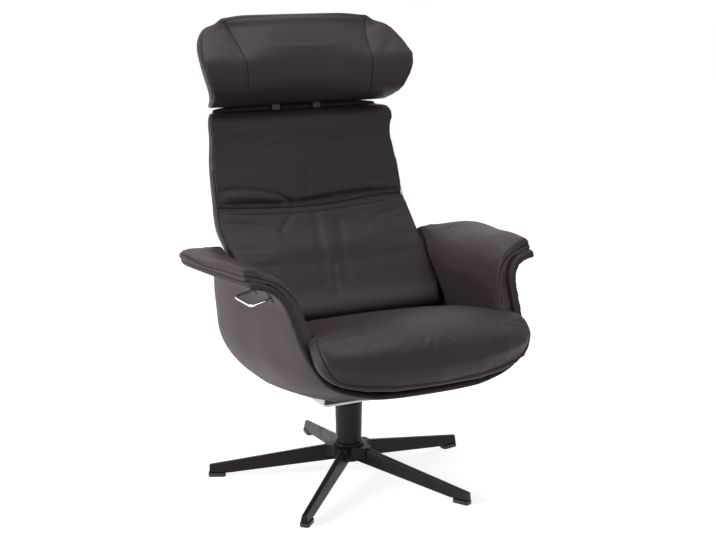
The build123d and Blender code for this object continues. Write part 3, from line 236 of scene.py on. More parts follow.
def finished(name, group, values, bump, metallic=0.0, **plain):
    """A material that takes colour, roughness and relief from a group. Plain values go
    straight on the shader's own sockets, and bump is (strength, distance)."""
    material = bpy.data.materials.new(name)
    material.use_nodes = True
    tree = material.node_tree
    shader = tree.nodes["Principled BSDF"]
    surface = tree.nodes.new("ShaderNodeGroup")
    surface.node_tree = group
    for key, value in values.items():
        surface.inputs[key].default_value = value
    tree.links.new(surface.outputs["Colour"], shader.inputs["Base Color"])
    tree.links.new(surface.outputs["Roughness"], shader.inputs["Roughness"])
    relief = tree.nodes.new("ShaderNodeBump")
    relief.inputs["Strength"].default_value = bump[0]
    relief.inputs["Distance"].default_value = bump[1]
    tree.links.new(surface.outputs["Height"], relief.inputs["Height"])
    tree.links.new(relief.outputs["Normal"], shader.inputs["Normal"])
    shader.inputs["Metallic"].default_value = metallic
    for key, value in plain.items():
        shader.inputs[key.replace("_", " ")].default_value = value
    return material


def dress(material, *names):
    """The material goes on these CAD nodes."""
    for name in names:
        mesh = nodes[name].data
        mesh.materials.clear()
        mesh.materials.append(material)


base_coat = finished(
    "satin_black_coat",
    coat_group,
    {"Colour": (0.012, 0.010, 0.009, 1), "Dust": 0.06},
    (0.12, 0.0004),
    Specular_IOR_Level=0.17,
)
dress(base_coat, "star_base", "column_tube")

# The glides: moulded plastic floor pads, screwed under the arm ends from below. The
# lever's bracket, the headrest's guides and the cable's sheath are dark plastic too, and
# the bearing bushes and the washer are a pale one.
plastic_group, plastic_in, plastic_out = node_group(
    "moulded_plastic",
    [("Colour", "NodeSocketColor", (0.05, 0.05, 0.05, 1)), ("Texture", "NodeSocketFloat", 0.45)],
)
where = plastic_group.nodes.new("ShaderNodeTexCoord").outputs["Object"]
scratches = noise(plastic_group, 60, 7, where, roughness=0.7)
scuffs = ramp(plastic_group, scratches, 0.52, 0.75, 0.0, 0.35)
scuff_colour = (0.14, 0.135, 0.13)
plastic_group.links.new(
    tint(plastic_group, scuffs, plastic_in.outputs["Colour"], scuff_colour),
    plastic_out.inputs["Colour"],
)
plastic_group.links.new(
    sum_of(plastic_group, [(plastic_in.outputs["Texture"], 1.0), (scuffs, 0.4)]),
    plastic_out.inputs["Roughness"],
)
plastic_group.links.new(noise(plastic_group, 900, 2, where), plastic_out.inputs["Height"])
dark_colour = {"Colour": (0.014, 0.013, 0.013, 1)}
pale_colour = {"Colour": (0.62, 0.59, 0.52, 1)}
dark_plastic = finished("dark_moulded_plastic", plastic_group, dark_colour, (0.25, 0.0002))
pale_plastic = finished("pale_bearing_plastic", plastic_group, pale_colour, (0.1, 0.0002))
dress(dark_plastic, "glides", "lever_bracket", "headrest_guides", "release_cable")
dress(pale_plastic, "upper_bush", "lower_bush", "thrust_washer", "axle_bushes", "recline_bushes")

# The metal pieces: the zinc-plated housing under the shell and the fasteners, the turned
# spindle, axle and pins, the rails of the headrest with their bridge and pin and the lever's
# spring, painted near black as painted shade, and the chromed wire loop of the release lever.


def stretched(tree, place, scale):
    """The place with a scale of its own on each axis, which makes a texture streaky."""
    mapping = tree.nodes.new("ShaderNodeMapping")
    mapping.inputs["Scale"].default_value = scale
    tree.links.new(place, mapping.inputs["Vector"])
    return mapping.outputs[0]


metal_group, metal_in, metal_out = node_group(
    "bare_metal",
    [
        ("Colour", "NodeSocketColor", (0.6, 0.6, 0.6, 1)),
        ("Tarnish", "NodeSocketColor", (0.3, 0.29, 0.28, 1)),
        ("Polish", "NodeSocketFloat", 0.3),
    ],
)
where = metal_group.nodes.new("ShaderNodeTexCoord").outputs["Object"]
blotches = noise(metal_group, 45, 7, where, distortion=0.4, roughness=0.7)
stain = ramp(metal_group, blotches, 0.5, 0.8, 0.0, 0.6)
metal_group.links.new(
    tint(metal_group, stain, metal_in.outputs["Colour"], metal_in.outputs["Tarnish"]),
    metal_out.inputs["Colour"],
)
metal_group.links.new(
    sum_of(metal_group, [(metal_in.outputs["Polish"], 1.0), (stain, 0.25)]),
    metal_out.inputs["Roughness"],
)
tool_marks = noise(metal_group, 90, 3, stretched(metal_group, where, (1, 1, 30)))
metal_group.links.new(tool_marks, metal_out.inputs["Height"])
zinc_plate = finished(
    "zinc_plated_steel",
    metal_group,
    {"Colour": (0.46, 0.46, 0.47, 1), "Tarnish": (0.32, 0.31, 0.30, 1), "Polish": 0.36},
    (0.06, 0.0003),
    metallic=0.85,
)
turned_steel = finished(
    "turned_steel",
    metal_group,
    {"Colour": (0.66, 0.66, 0.67, 1), "Tarnish": (0.35, 0.33, 0.31, 1), "Polish": 0.22},
    (0.15, 0.0003),
    metallic=1.0,
)
chrome = finished(
    "polished_chrome",
    metal_group,
    {"Colour": (0.80, 0.80, 0.82, 1), "Tarnish": (0.70, 0.70, 0.72, 1), "Polish": 0.05},
    (0.02, 0.0002),
    metallic=1.0,
)
dress(zinc_plate, "mechanism_housing", "glide_screws", "board_screws")
dress(zinc_plate, "chassis_bolts", "chassis_nuts")
dress(turned_steel, "swivel_spindle", "tilt_axle", "strut_pin", "strut_rod", "recline_pins")
dress(turned_steel, "back_crossbar", "retaining_clip")
# A near-black steel for the headrest's rails, bridge and pin and the lever's spring: painted
# shade in the gap under the headrest and in the lever's recess.
painted_shade_steel = finished(
    "painted_shade_steel",
    metal_group,
    {"Colour": (0.045, 0.043, 0.042, 1), "Tarnish": (0.025, 0.023, 0.022, 1), "Polish": 0.42},
    (0.10, 0.0003),
    metallic=0.7,
)
dress(painted_shade_steel, "headrest_rails", "rail_bridge", "headrest_pin", "lever_spring")
dress(chrome, "release_lever")

# The hidden frame: the folded chassis, the backrest's uprights and its guide plate are
# black e-coated steel, the strut's tube is gloss black, the boards are raw plywood and
# the four tilt buffers under the shell are rubber.
frame_coat = finished(
    "black_frame_coat",
    coat_group,
    {"Colour": (0.03, 0.03, 0.03, 1), "Dust": 0.2},
    (0.1, 0.0003),
)
strut_coat = finished(
    "gloss_strut_coat",
    coat_group,
    {"Colour": (0.02, 0.02, 0.02, 1), "Dust": 0.0},
    (0.03, 0.0002),
    Coat_Weight=0.6,
)
buffer_rubber = finished(
    "buffer_rubber",
    plastic_group,
    {"Colour": (0.03, 0.03, 0.03, 1), "Texture": 0.7},
    (0.3, 0.0003),
)
wood_group, wood_in, wood_out = node_group(
    "plywood",
    [
        ("Colour", "NodeSocketColor", (0.5, 0.36, 0.22, 1)),
        ("Dark", "NodeSocketColor", (0.28, 0.18, 0.1, 1)),
    ],
)
where = wood_group.nodes.new("ShaderNodeTexCoord").outputs["Object"]
figure = noise(wood_group, 9, 6, stretched(wood_group, where, (1, 12, 12)), distortion=1.2)
darker = ramp(wood_group, figure, 0.35, 0.7)
wood_group.links.new(
    tint(wood_group, darker, wood_in.outputs["Colour"], wood_in.outputs["Dark"]),
    wood_out.inputs["Colour"],
)
wood_group.links.new(ramp(wood_group, figure, 0.2, 0.8, 0.55, 0.75), wood_out.inputs["Roughness"])
wood_group.links.new(figure, wood_out.inputs["Height"])
plywood = finished("raw_plywood", wood_group, {}, (0.2, 0.0004))
dress(frame_coat, "seat_chassis", "back_uprights", "guide_plate")
dress(strut_coat, "strut_cylinder")
dress(buffer_rubber, "tilt_buffers")
dress(plywood, "seat_board", "headrest_core")

# The bucket shell: moulded plywood under thin foam, covered outside and inside in smooth
# dark brown leather. Its slanted front edge, from arm to arm, is painted near black as painted
# shade.
leather_group, leather_in, leather_out = node_group(
    "smooth_leather",
    [
        ("Colour", "NodeSocketColor", (0.04, 0.033, 0.034, 1)),
        ("Worn", "NodeSocketColor", (0.06, 0.05, 0.05, 1)),
        ("Sheen", "NodeSocketFloat", 0.45),
    ],
)
where = leather_group.nodes.new("ShaderNodeTexCoord").outputs["Object"]
clouds = ramp(leather_group, noise(leather_group, 5, 5, where, distortion=0.6), 0.35, 0.75)
leather_group.links.new(
    tint(leather_group, clouds, leather_in.outputs["Colour"], leather_in.outputs["Worn"]),
    leather_out.inputs["Colour"],
)
touches = noise(leather_group, 11, 4, where)
handled = ramp(leather_group, touches, 0.3, 0.75, -0.02, 0.03)
leather_group.links.new(
    sum_of(leather_group, [(leather_in.outputs["Sheen"], 1.0), (handled, 1.0)]),
    leather_out.inputs["Roughness"],
)
pores = leather_group.nodes.new("ShaderNodeTexVoronoi")
pores.feature = "DISTANCE_TO_EDGE"
pores.inputs["Scale"].default_value = 620
pores.inputs["Randomness"].default_value = 1.0
leather_group.links.new(where, pores.inputs["Vector"])
pebbles = ramp(leather_group, pores.outputs["Distance"], 0.0, 0.22)
wide_cells = leather_group.nodes.new("ShaderNodeTexVoronoi")
wide_cells.feature = "DISTANCE_TO_EDGE"
wide_cells.inputs["Scale"].default_value = 190
wobble = leather_group.nodes.new("ShaderNodeTexNoise")
wobble.inputs["Scale"].default_value = 60
leather_group.links.new(where, wobble.inputs["Vector"])
shifted = leather_group.nodes.new("ShaderNodeVectorMath")
shifted.operation = "MULTIPLY_ADD"
shifted.inputs[1].default_value = (0.02, 0.02, 0.02)
leather_group.links.new(wobble.outputs["Color"], shifted.inputs[0])
leather_group.links.new(where, shifted.inputs[2])
leather_group.links.new(shifted.outputs[0], wide_cells.inputs["Vector"])
fine_creases = ramp(leather_group, wide_cells.outputs["Distance"], 0.0, 0.07)
soft_lumps = noise(leather_group, 26, 3, where)
leather_group.links.new(
    sum_of(leather_group, [(pebbles, 0.45), (fine_creases, 0.35), (soft_lumps, 0.8)]),
    leather_out.inputs["Height"],
)


def leather(name, colour, worn, sheen, gloss=0.17):
    """A leather in two shades. Sheen is its roughness, and gloss how much it reflects."""
    return finished(
        name,
        leather_group,
        {"Colour": (*colour, 1), "Worn": (*worn, 1), "Sheen": sheen},
        (0.22, 0.0009),
        Specular_IOR_Level=gloss,
    )


def settle(piece):
    """The piece's modifiers become its mesh."""
    shaped = piece.evaluated_get(bpy.context.evaluated_depsgraph_get())
    mesh = bpy.data.meshes.new_from_object(shaped)
    piece.modifiers.clear()
    piece.data = mesh
    mesh.name = piece.name


def eased(piece, turns, group=""):
    """Relaxes the piece's surface, or the part of it in a vertex group."""
    ease = piece.modifiers.new("ease", "SMOOTH")
    ease.factor = 0.5
    ease.iterations = turns
    ease.vertex_group = group
    settle(piece)


def places(mesh):
    """The mesh's vertices as an array of rows."""
    found = np.empty(len(mesh.vertices) * 3)
    mesh.vertices.foreach_get("co", found)
    return found.reshape(-1, 3)


def place_at(mesh, rows):
    mesh.vertices.foreach_set("co", np.asarray(rows, float).ravel())
    mesh.update()


def upholstered(name, node, grid, relax, edge=0.0012):
    """A cover over a CAD solid: its surface is laid out as an even grid and its hard
    edges are relaxed. What has moved by less than edge is put back on the solid."""
    mesh = nodes[node].data.copy()
    solid = bmesh.new()
    solid.from_mesh(mesh)
    bmesh.ops.remove_doubles(solid, verts=solid.verts, dist=1e-5)
    solid.to_mesh(mesh)
    surface = BVHTree.FromBMesh(solid)
    solid.free()
    piece = bpy.data.objects.new(name, mesh)
    scene.collection.objects.link(piece)
    cover = piece.modifiers.new("cover", "REMESH")
    cover.mode = "VOXEL"
    cover.voxel_size = grid
    eased(piece, relax)
    rows = places(piece.data)
    for i, row in enumerate(rows):
        near, normal, face, gap = surface.find_nearest(Vector(row))
        keep = min(1.0, max(0.0, (gap / edge - 0.5) * 2))
        rows[i] = np.array(near) * (1 - keep) + row * keep
    place_at(piece.data, rows)
    eased(piece, 3)
    smooth_faces(piece.data)
    return piece


def smooth_faces(mesh):
    mesh.polygons.foreach_set("use_smooth", [True] * len(mesh.polygons))


def cover_with(piece, material):
    piece.data.materials.clear()
    piece.data.materials.append(material)


shell_leather = leather(
    "shell_leather", (0.040, 0.025, 0.0265), (0.044, 0.029, 0.030), 0.49, gloss=0.14
)
shell = upholstered("shell_upholstery", "outer_shell", grid=0.0034, relax=10, edge=0.0025)
cover_with(shell, shell_leather)
# The faces of the slanted front edge get a near-black leather, which is painted shade.
edge_shade_paint = leather("shell_edge_painted_shade", (0.020, 0.016, 0.016), (0.028, 0.023, 0.022), 0.5)
shell.data.materials.append(edge_shade_paint)
edge_slope = 0.63
edge_start = Vector((0, -0.345, 0.32))
edge_reach = 0.0035
edge_likeness = 0.55
edge_facing = Vector((0, -1, edge_slope)).normalized()
# The faces that face forward along the front edge take the painted shade.
for polygon in shell.data.polygons:
    ahead = (polygon.center - edge_start).dot(edge_facing)
    if abs(ahead) < edge_reach and polygon.normal.dot(edge_facing) > edge_likeness:
        polygon.material_index = 1
belly_rise = 0.009
belly_fade = 0.8


def slope(values, start, width):
    """0 at start and 1 from start + width on, with an even slope between them. With a
    negative width it is 1 below instead."""
    return np.clip((values - start) / width, 0, 1)


def lift_belly(piece):
    """Draws the bowl's lower flanks in front up by a few millimetres."""
    rows = places(piece.data)
    aside = slope(np.abs(rows[:, 0]), 0.122, 0.075)
    low = slope(rows[:, 2], 0.36, -0.075)
    ahead = slope(rows[:, 1], 0.06, -0.11)
    rows[:, 2] += belly_rise * (aside * low * ahead) ** belly_fade
    place_at(piece.data, rows)


lift_belly(shell)
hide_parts("outer_shell")
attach(shell, "seat")

# The arm pads: foam linings over both arms in leather, with a boxing band along the rim
# and a seam above it that runs from the arm's rear end down the front end. Air pressure
# swells the cover between the seams.


def soft_step(values, low, high):
    """0 at low and 1 at high, with a smooth slope between them."""
    share = slope(values, low, high - low)
    return share * share * (3 - 2 * share)


def smooth_line(points, step=0.002):
    """Points every step along a smooth curve through the given points."""
    given = np.array(points, float)
    ends = np.vstack([2 * given[0] - given[1], given, 2 * given[-1] - given[-2]])
    fine = []
    for a, b, c, d in zip(ends, ends[1:], ends[2:], ends[3:]):
        pieces = max(2, int(np.linalg.norm(c - b) / step))
        for t in np.linspace(0, 1, pieces, endpoint=False):
            linear = (c - a) * t
            square = (2 * a - 5 * b + 4 * c - d) * t * t
            cube = (3 * b - a - 3 * c + d) * t * t * t
            fine.append(0.5 * (2 * b + linear + square + cube))
    fine.append(given[-1])
    return np.array(fine)


def skin_of(piece):
    """A search tree over the piece's surface."""
    mesh = piece.data
    corners = [vertex.co for vertex in mesh.vertices]
    return BVHTree.FromPolygons(corners, [polygon.vertices for polygon in mesh.polygons])


def on_skin(piece, points):
    """The line moved to the nearest places on the piece's surface, without kinks."""
    skin = skin_of(piece)
    line = np.array(points, float)
    for turn in range(4):
        line = np.array([skin.find_nearest(Vector(p))[0] for p in line])
        for pull in range(6):
            line[1:-1] = (line[:-2] + 2 * line[1:-1] + line[2:]) / 4
    return line


def front_line(piece, points):
    """A smooth line on the piece's front through (x, z) points."""
    skin = skin_of(piece)
    flat = smooth_line([(x, 0, z) for x, z in points])
    found = []
    for x, y, z in flat:
        hit = skin.ray_cast(Vector((x, -1.5, z)), Vector((0, 1, 0)))[0]
        if hit is not None:
            found.append(hit)
    return np.array(found)


def gaps_to(rows, line):
    """How far each row is from the nearest point of a line."""
    finder = KDTree(len(line))
    for i, point in enumerate(line):
        finder.insert(point, i)
    finder.balance()
    return np.array([finder.find(row)[2] for row in rows])


def press(piece, line, *profiles):
    """Moves the surface near a line inwards. Each profile is (half width, depth), and
    a negative depth raises the surface."""
    mesh = piece.data
    rows = places(mesh)
    normal = np.empty(rows.size)
    mesh.vertices.foreach_get("normal", normal)
    normal = normal.reshape(-1, 3)
    reach = 3.0 * max(width for width, depth in profiles)
    inside = (rows > line.min(0) - reach) & (rows < line.max(0) + reach)
    near = np.where(inside.all(1))[0]
    gap = gaps_to(rows[near], line)
    push = np.zeros(len(near))
    for width, depth in profiles:
        push += depth * np.exp(-((gap / width) ** 2))
    rows[near] -= normal[near] * push[:, None]
    place_at(mesh, rows)


hold_reach = 0.006
least_hold = 0.05


def swell(piece, lines, still, pressure, shrink, cap, frames=12):
    """The cover is drawn in by shrink and then blown up by air pressure, nowhere by more
    than cap. It stays in place along the lines and where still, a function of rows and
    normals, says so."""
    mesh = piece.data
    rows = places(mesh)
    normal = np.empty(rows.size)
    mesh.vertices.foreach_get("normal", normal)
    normal = normal.reshape(-1, 3)
    weight = still(rows, normal).astype(float)
    for line in lines:
        weight = np.maximum(weight, np.exp(-((gaps_to(rows, line) / hold_reach) ** 2)))
    drawn = rows - normal * (shrink * (1 - weight))[:, None]
    place_at(mesh, drawn)
    hold = piece.vertex_groups.new(name="hold")
    for i in np.where(weight > least_hold)[0]:
        hold.add([int(i)], float(weight[i]), "REPLACE")
    cloth = piece.modifiers.new("cloth", "CLOTH")
    cloth.settings.quality = 4
    cloth.settings.mass = 0.3
    cloth.settings.tension_stiffness = 12
    cloth.settings.compression_stiffness = 12
    cloth.settings.shear_stiffness = 6
    cloth.settings.bending_stiffness = 1.5
    cloth.settings.use_pressure = True
    cloth.settings.uniform_pressure_force = pressure
    cloth.settings.vertex_group_mass = "hold"
    cloth.settings.effector_weights.gravity = 0
    cloth.collision_settings.use_collision = False
    cloth.point_cache.frame_start = 1
    cloth.point_cache.frame_end = frames
    for frame_number in range(1, frames + 1):
        scene.frame_set(frame_number)
    blown = piece.evaluated_get(bpy.context.evaluated_depsgraph_get())
    moved = places(blown.to_mesh()) - rows
    blown.to_mesh_clear()
    piece.modifiers.clear()
    piece.vertex_groups.clear()
    scene.frame_set(1)
    length = np.linalg.norm(moved, axis=1)
    share = np.minimum(1, cap / np.maximum(length, 1e-9))
    place_at(mesh, rows + moved * share[:, None])


def refine(piece):
    """Splits each face of the piece in four."""
    finer = piece.modifiers.new("finer", "SUBSURF")
    finer.levels = 1
    finer.render_levels = 1
    settle(piece)
    smooth_faces(piece.data)


def beside(piece, line, offset):
    """The line moved sideways over the piece's surface."""
    skin = skin_of(piece)
    along = np.gradient(line, axis=0)
    found = []
    for point, direction in zip(line, along):
        outward = skin.find_nearest(Vector(point))[1]
        across = Vector(direction).cross(outward).normalized()
        found.append(skin.find_nearest(Vector(point) + across * offset)[0])
    return np.array(found)


def close_tube(form, rings):
    """Faces from ring to ring, and a cap at each end."""
    sides = len(rings[0])
    for one, two in zip(rings, rings[1:]):
        for k in range(sides):
            after = (k + 1) % sides
            form.faces.new((one[k], one[after], two[after], two[k]))
    form.faces.new(rings[0][::-1])
    form.faces.new(rings[-1])


stitch_pitch = 0.0064
stitch_length = 0.0043
thread_radius = 0.0005
stitch_rings = ((0.0, 0.35), (0.25, 1.0), (0.75, 1.0), (1.0, 0.35))


def stitched(name, line, piece, body):
    """A row of stitches along a line that lies on a piece. Each stitch is a short tube
    through rings, given as shares of its length and of the thread's radius."""
    skin = skin_of(piece)
    steps = np.linalg.norm(np.diff(line, axis=0), axis=1)
    travelled = np.concatenate([[0], np.cumsum(steps)])
    row = bmesh.new()
    sides = 6
    for start in np.arange(stitch_pitch, travelled[-1] - stitch_pitch, stitch_pitch):
        ends = []
        for distance in (start, start + stitch_length):
            ends.append(Vector([np.interp(distance, travelled, line[:, k]) for k in range(3)]))
        outward = skin.find_nearest((ends[0] + ends[1]) / 2)[1]
        across = (ends[1] - ends[0]).cross(outward).normalized()
        rings = []
        for share, size in stitch_rings:
            centre = ends[0].lerp(ends[1], share) + outward * thread_radius * (0.9 * size - 0.3)
            ring = []
            for k in range(sides):
                turn = 2 * math.pi * k / sides
                offset = across * math.cos(turn) + outward * math.sin(turn)
                ring.append(row.verts.new(centre + offset * thread_radius * size))
            rings.append(ring)
        close_tube(row, rings)
    bmesh.ops.recalc_face_normals(row, faces=row.faces)
    mesh = bpy.data.meshes.new(name)
    row.to_mesh(mesh)
    row.free()
    smooth_faces(mesh)
    mesh.materials.append(thread_material)
    stitches = bpy.data.objects.new(name, mesh)
    scene.collection.objects.link(stitches)
    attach(stitches, body)


stitch_offset = 0.0045


def topstitched(name, line, piece, body):
    """A row of stitches on each side of a seam."""
    for row_name, offset in (("_a", stitch_offset), ("_b", -stitch_offset)):
        stitched(name + row_name, beside(piece, line, offset), piece, body)


gap_radius = 0.0009
gap_sink = 0.42


def corded(name, line, piece, body):
    """Painted shade in a seam's gap: a thin near-black cord, sunk by a share of its width into
    the groove's bottom along a line that lies on a piece."""
    skin = skin_of(piece)
    along = np.gradient(line, axis=0)
    cord = bmesh.new()
    sides = 10
    rings = []
    for point, direction in zip(line, along):
        outward = skin.find_nearest(Vector(point))[1]
        forward = Vector(direction).normalized()
        across = forward.cross(outward).normalized()
        upright = across.cross(forward)
        centre = Vector(point) + outward * gap_radius * (1 - 2 * gap_sink)
        ring = []
        for k in range(sides):
            turn = 2 * math.pi * k / sides
            offset = across * math.cos(turn) + upright * math.sin(turn)
            ring.append(cord.verts.new(centre + offset * gap_radius))
        rings.append(ring)
    close_tube(cord, rings)
    bmesh.ops.recalc_face_normals(cord, faces=cord.faces)
    mesh = bpy.data.meshes.new(name)
    cord.to_mesh(mesh)
    cord.free()
    smooth_faces(mesh)
    # The cord's near-black leather is painted shade in the seam's groove.
    mesh.materials.append(seam_shade_paint)
    shade_cord = bpy.data.objects.new(name, mesh)
    scene.collection.objects.link(shade_cord)
    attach(shade_cord, body)


above_seam = 0.008


def seamed(name, line, piece, body, groove, hollow):
    """Two panels sewn together: the cover is drawn in along the line by a narrow groove
    in a wide hollow, and a near-black cord at the bottom paints the shade in the gap between the
    panels."""
    skin = skin_of(piece)
    facing = [skin.find_nearest(Vector(point))[1] for point in line]
    press(piece, line, groove, hollow)
    skin = skin_of(piece)
    bottom = []
    for point, outward in zip(line, facing):
        hit = skin.ray_cast(Vector(point) + outward * above_seam, -outward)[0]
        bottom.append(Vector(point) if hit is None else hit)
    bottom = np.array(bottom)
    for turn in range(8):
        bottom[1:-1] = (bottom[:-2] + 2 * bottom[1:-1] + bottom[2:]) / 4
    corded(name, bottom, piece, body)


def mirrored(points):
    """The same points on the other side of the chair."""
    return [(-x, y, z) for x, y, z in points]


thread_material = finished(
    "dark_thread",
    plastic_group,
    {"Colour": (0.060, 0.050, 0.048, 1), "Texture": 0.7},
    (0.2, 0.0002),
)
# A near-black leather for the seam cords: painted shade in the seams' grooves.
seam_shade_paint = leather("seam_painted_shade", (0.007, 0.006, 0.006), (0.008, 0.007, 0.007), 0.6)
pad_leather = leather("arm_leather", (0.047, 0.034, 0.034), (0.053, 0.040, 0.040), 0.46)
arm_seam = [
    (-0.388, 0.165, 0.573),
    (-0.3935, 0.125, 0.574),
    (-0.3945, 0.0909, 0.574),
    (-0.3867, 0.0181, 0.5725),
    (-0.3765, -0.0513, 0.5725),
    (-0.3634, -0.133, 0.5732),
    (-0.344, -0.1715, 0.5731),
    (-0.310, -0.182, 0.5641),
    (-0.2785, -0.193, 0.5458),
    (-0.2582, -0.2085, 0.5208),
    (-0.2468, -0.2236, 0.4968),
    (-0.2411, -0.2400, 0.4697),
]
top_drop = 0.006
rim_reach = 0.006
rear_drop = 0.009
corner_rise = 0.008
seam_shift = 0.006
for side_name, node, seam in (
    ("right_arm", "right_arm_pad", arm_seam),
    ("left_arm", "left_arm_pad", mirrored(arm_seam)),
):
    arm = upholstered(side_name + "_upholstery", node, grid=0.0045, relax=12, edge=0.004)
    cover_with(arm, pad_leather)
    rows = places(arm.data)
    outward = np.abs(rows[:, 0])
    upper = slope(rows[:, 2], 0.558, 0.02)
    rows[:, 2] -= top_drop * upper * slope(outward, 0.27, 0.04)
    rows[:, 0] += np.sign(rows[:, 0]) * rim_reach * upper * slope(outward, 0.33, 0.05)
    behind = soft_step(rows[:, 1], -0.08, 0.14) * soft_step(outward, 0.44, 0.30)
    corner = soft_step(rows[:, 1], 0.02, -0.12) * soft_step(outward, 0.29, 0.36)
    rows[:, 2] -= rear_drop * behind * soft_step(rows[:, 2], 0.545, 0.590)
    rows[:, 2] += corner_rise * corner * soft_step(rows[:, 2], 0.562, 0.588)
    place_at(arm.data, rows)
    line = on_skin(arm, smooth_line(seam))
    line = on_skin(arm, beside(arm, line, math.copysign(seam_shift, line[0][0])))
    swell(
        arm,
        [line],
        lambda rows, normal: (normal[:, 2] < 0.25) & (np.abs(rows[:, 0]) > 0.30),
        pressure=2.5,
        shrink=0.001,
        cap=0.003,
    )
    refine(arm)
    line = on_skin(arm, line)
    seamed(
        side_name + "_seam",
        line,
        arm,
        "seat",
        groove=(0.0024, 0.0022),
        hollow=(0.009, 0.0008),
    )
    topstitched(side_name + "_stitches", line, arm, "seat")
    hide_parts(node)
    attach(arm, "seat")

# The seat cushion: a foam pillow with a high front roll, in leather. Its top panel is
# sewn to a low boxing along the front and the corners, with a topstitch on each side.
seat_leather = leather("seat_leather", (0.033, 0.0235, 0.0255), (0.038, 0.028, 0.030), 0.44)
seat = upholstered("seat_upholstery", "seat_cushion", grid=0.005, relax=16, edge=0.004)
cover_with(seat, seat_leather)


def ease_where(piece, chosen, turns):
    """Relaxes the chosen part of the surface more than the rest."""
    part = piece.vertex_groups.new(name="part")
    for i, weight in enumerate(chosen(places(piece.data))):
        if weight > 0.01:
            part.add([i], float(weight), "REPLACE")
    eased(piece, turns, "part")
    piece.vertex_groups.clear()
    smooth_faces(piece.data)


def front_corners(rows):
    """1 at the cushion's two lower front corners and 0 away from them."""
    aside = slope(np.abs(rows[:, 0]), 0.17, 0.05)
    return aside * slope(rows[:, 1], -0.22, -0.05) * (rows[:, 2] < 0.46)


ease_where(seat, front_corners, 60)
seat_seam = [
    (-0.246, -0.2783, 0.4584),
    (-0.2574, -0.3211, 0.4407),
    (-0.2559, -0.3414, 0.4202),
    (-0.2410, -0.3450, 0.3930),
    (-0.2227, -0.3550, 0.3740),
    (-0.1900, -0.3640, 0.3670),
    (-0.1500, -0.3690, 0.3610),
    (-0.0826, -0.3740, 0.3560),
]
seam_middle = (0, -0.3755, 0.3545)
seat_line = smooth_line(seat_seam + [seam_middle] + mirrored(seat_seam)[::-1])
seat_line = on_skin(seat, seat_line)
swell(
    seat,
    [seat_line],
    lambda rows, normal: (normal[:, 2] < -0.1) | (np.abs(rows[:, 0]) > 0.245),
    pressure=3.0,
    shrink=0.0015,
    cap=0.006,
)
refine(seat)
lift_belly(seat)
seat_line = on_skin(seat, seat_line)
seamed(
    "seat_seam",
    seat_line,
    seat,
    "seat",
    groove=(0.0026, 0.0024),
    hollow=(0.012, 0.0010),
)
topstitched("seat_stitches", seat_line, seat, "seat")
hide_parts("seat_cushion")
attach(seat, "seat")

# The backrest: a foam front in two leather panels, sewn together at the lumbar, where
# the leather is loose and folds. Its side panels are sewn on with a topstitched seam.
back = upholstered("back_upholstery", "back_cushion", grid=0.005, relax=10, edge=0.004)
cover_with(back, seat_leather)
rows = places(back.data)
top_rise = 0.004
near_top = slope(rows[:, 2], 0.835, 0.025)
rows[:, 2] += top_rise * near_top * slope(rows[:, 1], 0.305, -0.012)
place_at(back.data, rows)
side_seam = [
    (-0.2330, 0.316, 0.858),
    (-0.2420, 0.300, 0.845),
    (-0.2460, 0.292, 0.807),
    (-0.2480, 0.281, 0.748),
    (-0.2500, 0.262, 0.690),
    (-0.2530, 0.240, 0.634),
    (-0.2570, 0.197, 0.583),
    (-0.2530, 0.155, 0.550),
    (-0.2500, 0.100, 0.500),
    (-0.2460, 0.050, 0.450),
]
lumbar = [
    (-0.248, 0.6474),
    (-0.2056, 0.6441),
    (-0.1559, 0.6416),
    (-0.0951, 0.6387),
    (-0.0535, 0.6379),
    (-0.0111, 0.6370),
    (0.0548, 0.6387),
    (0.1233, 0.6434),
    (0.1939, 0.6468),
    (0.248, 0.6462),
]
side_lines = [on_skin(back, smooth_line(points)) for points in (side_seam, mirrored(side_seam))]
lumbar_line = front_line(back, lumbar)


def back_still(rows, normal):
    """The backrest's foot, its rear and its sides don't swell."""
    foot = slope(rows[:, 2], 0.54, -0.09)
    return np.maximum(foot, (normal[:, 1] > 0.3) | (np.abs(rows[:, 0]) > 0.25))


swell(back, side_lines + [lumbar_line], back_still, pressure=3.5, shrink=0.003, cap=0.007)
refine(back)
for side_name, side_line in zip(("right", "left"), side_lines):
    side_line = on_skin(back, side_line)
    seamed(
        side_name + "_back_seam",
        side_line,
        back,
        "back",
        groove=(0.0024, 0.0022),
        hollow=(0.010, 0.0012),
    )
    topstitched(side_name + "_back_stitches", side_line, back, "back")
seamed(
    "lumbar_seam",
    front_line(back, lumbar),
    back,
    "back",
    groove=(0.0028, 0.0034),
    hollow=(0.016, 0.0044),
)
below_lumbar = beside(back, front_line(back, lumbar), -0.005)
stitched("lumbar_stitches", below_lumbar, back, "back")

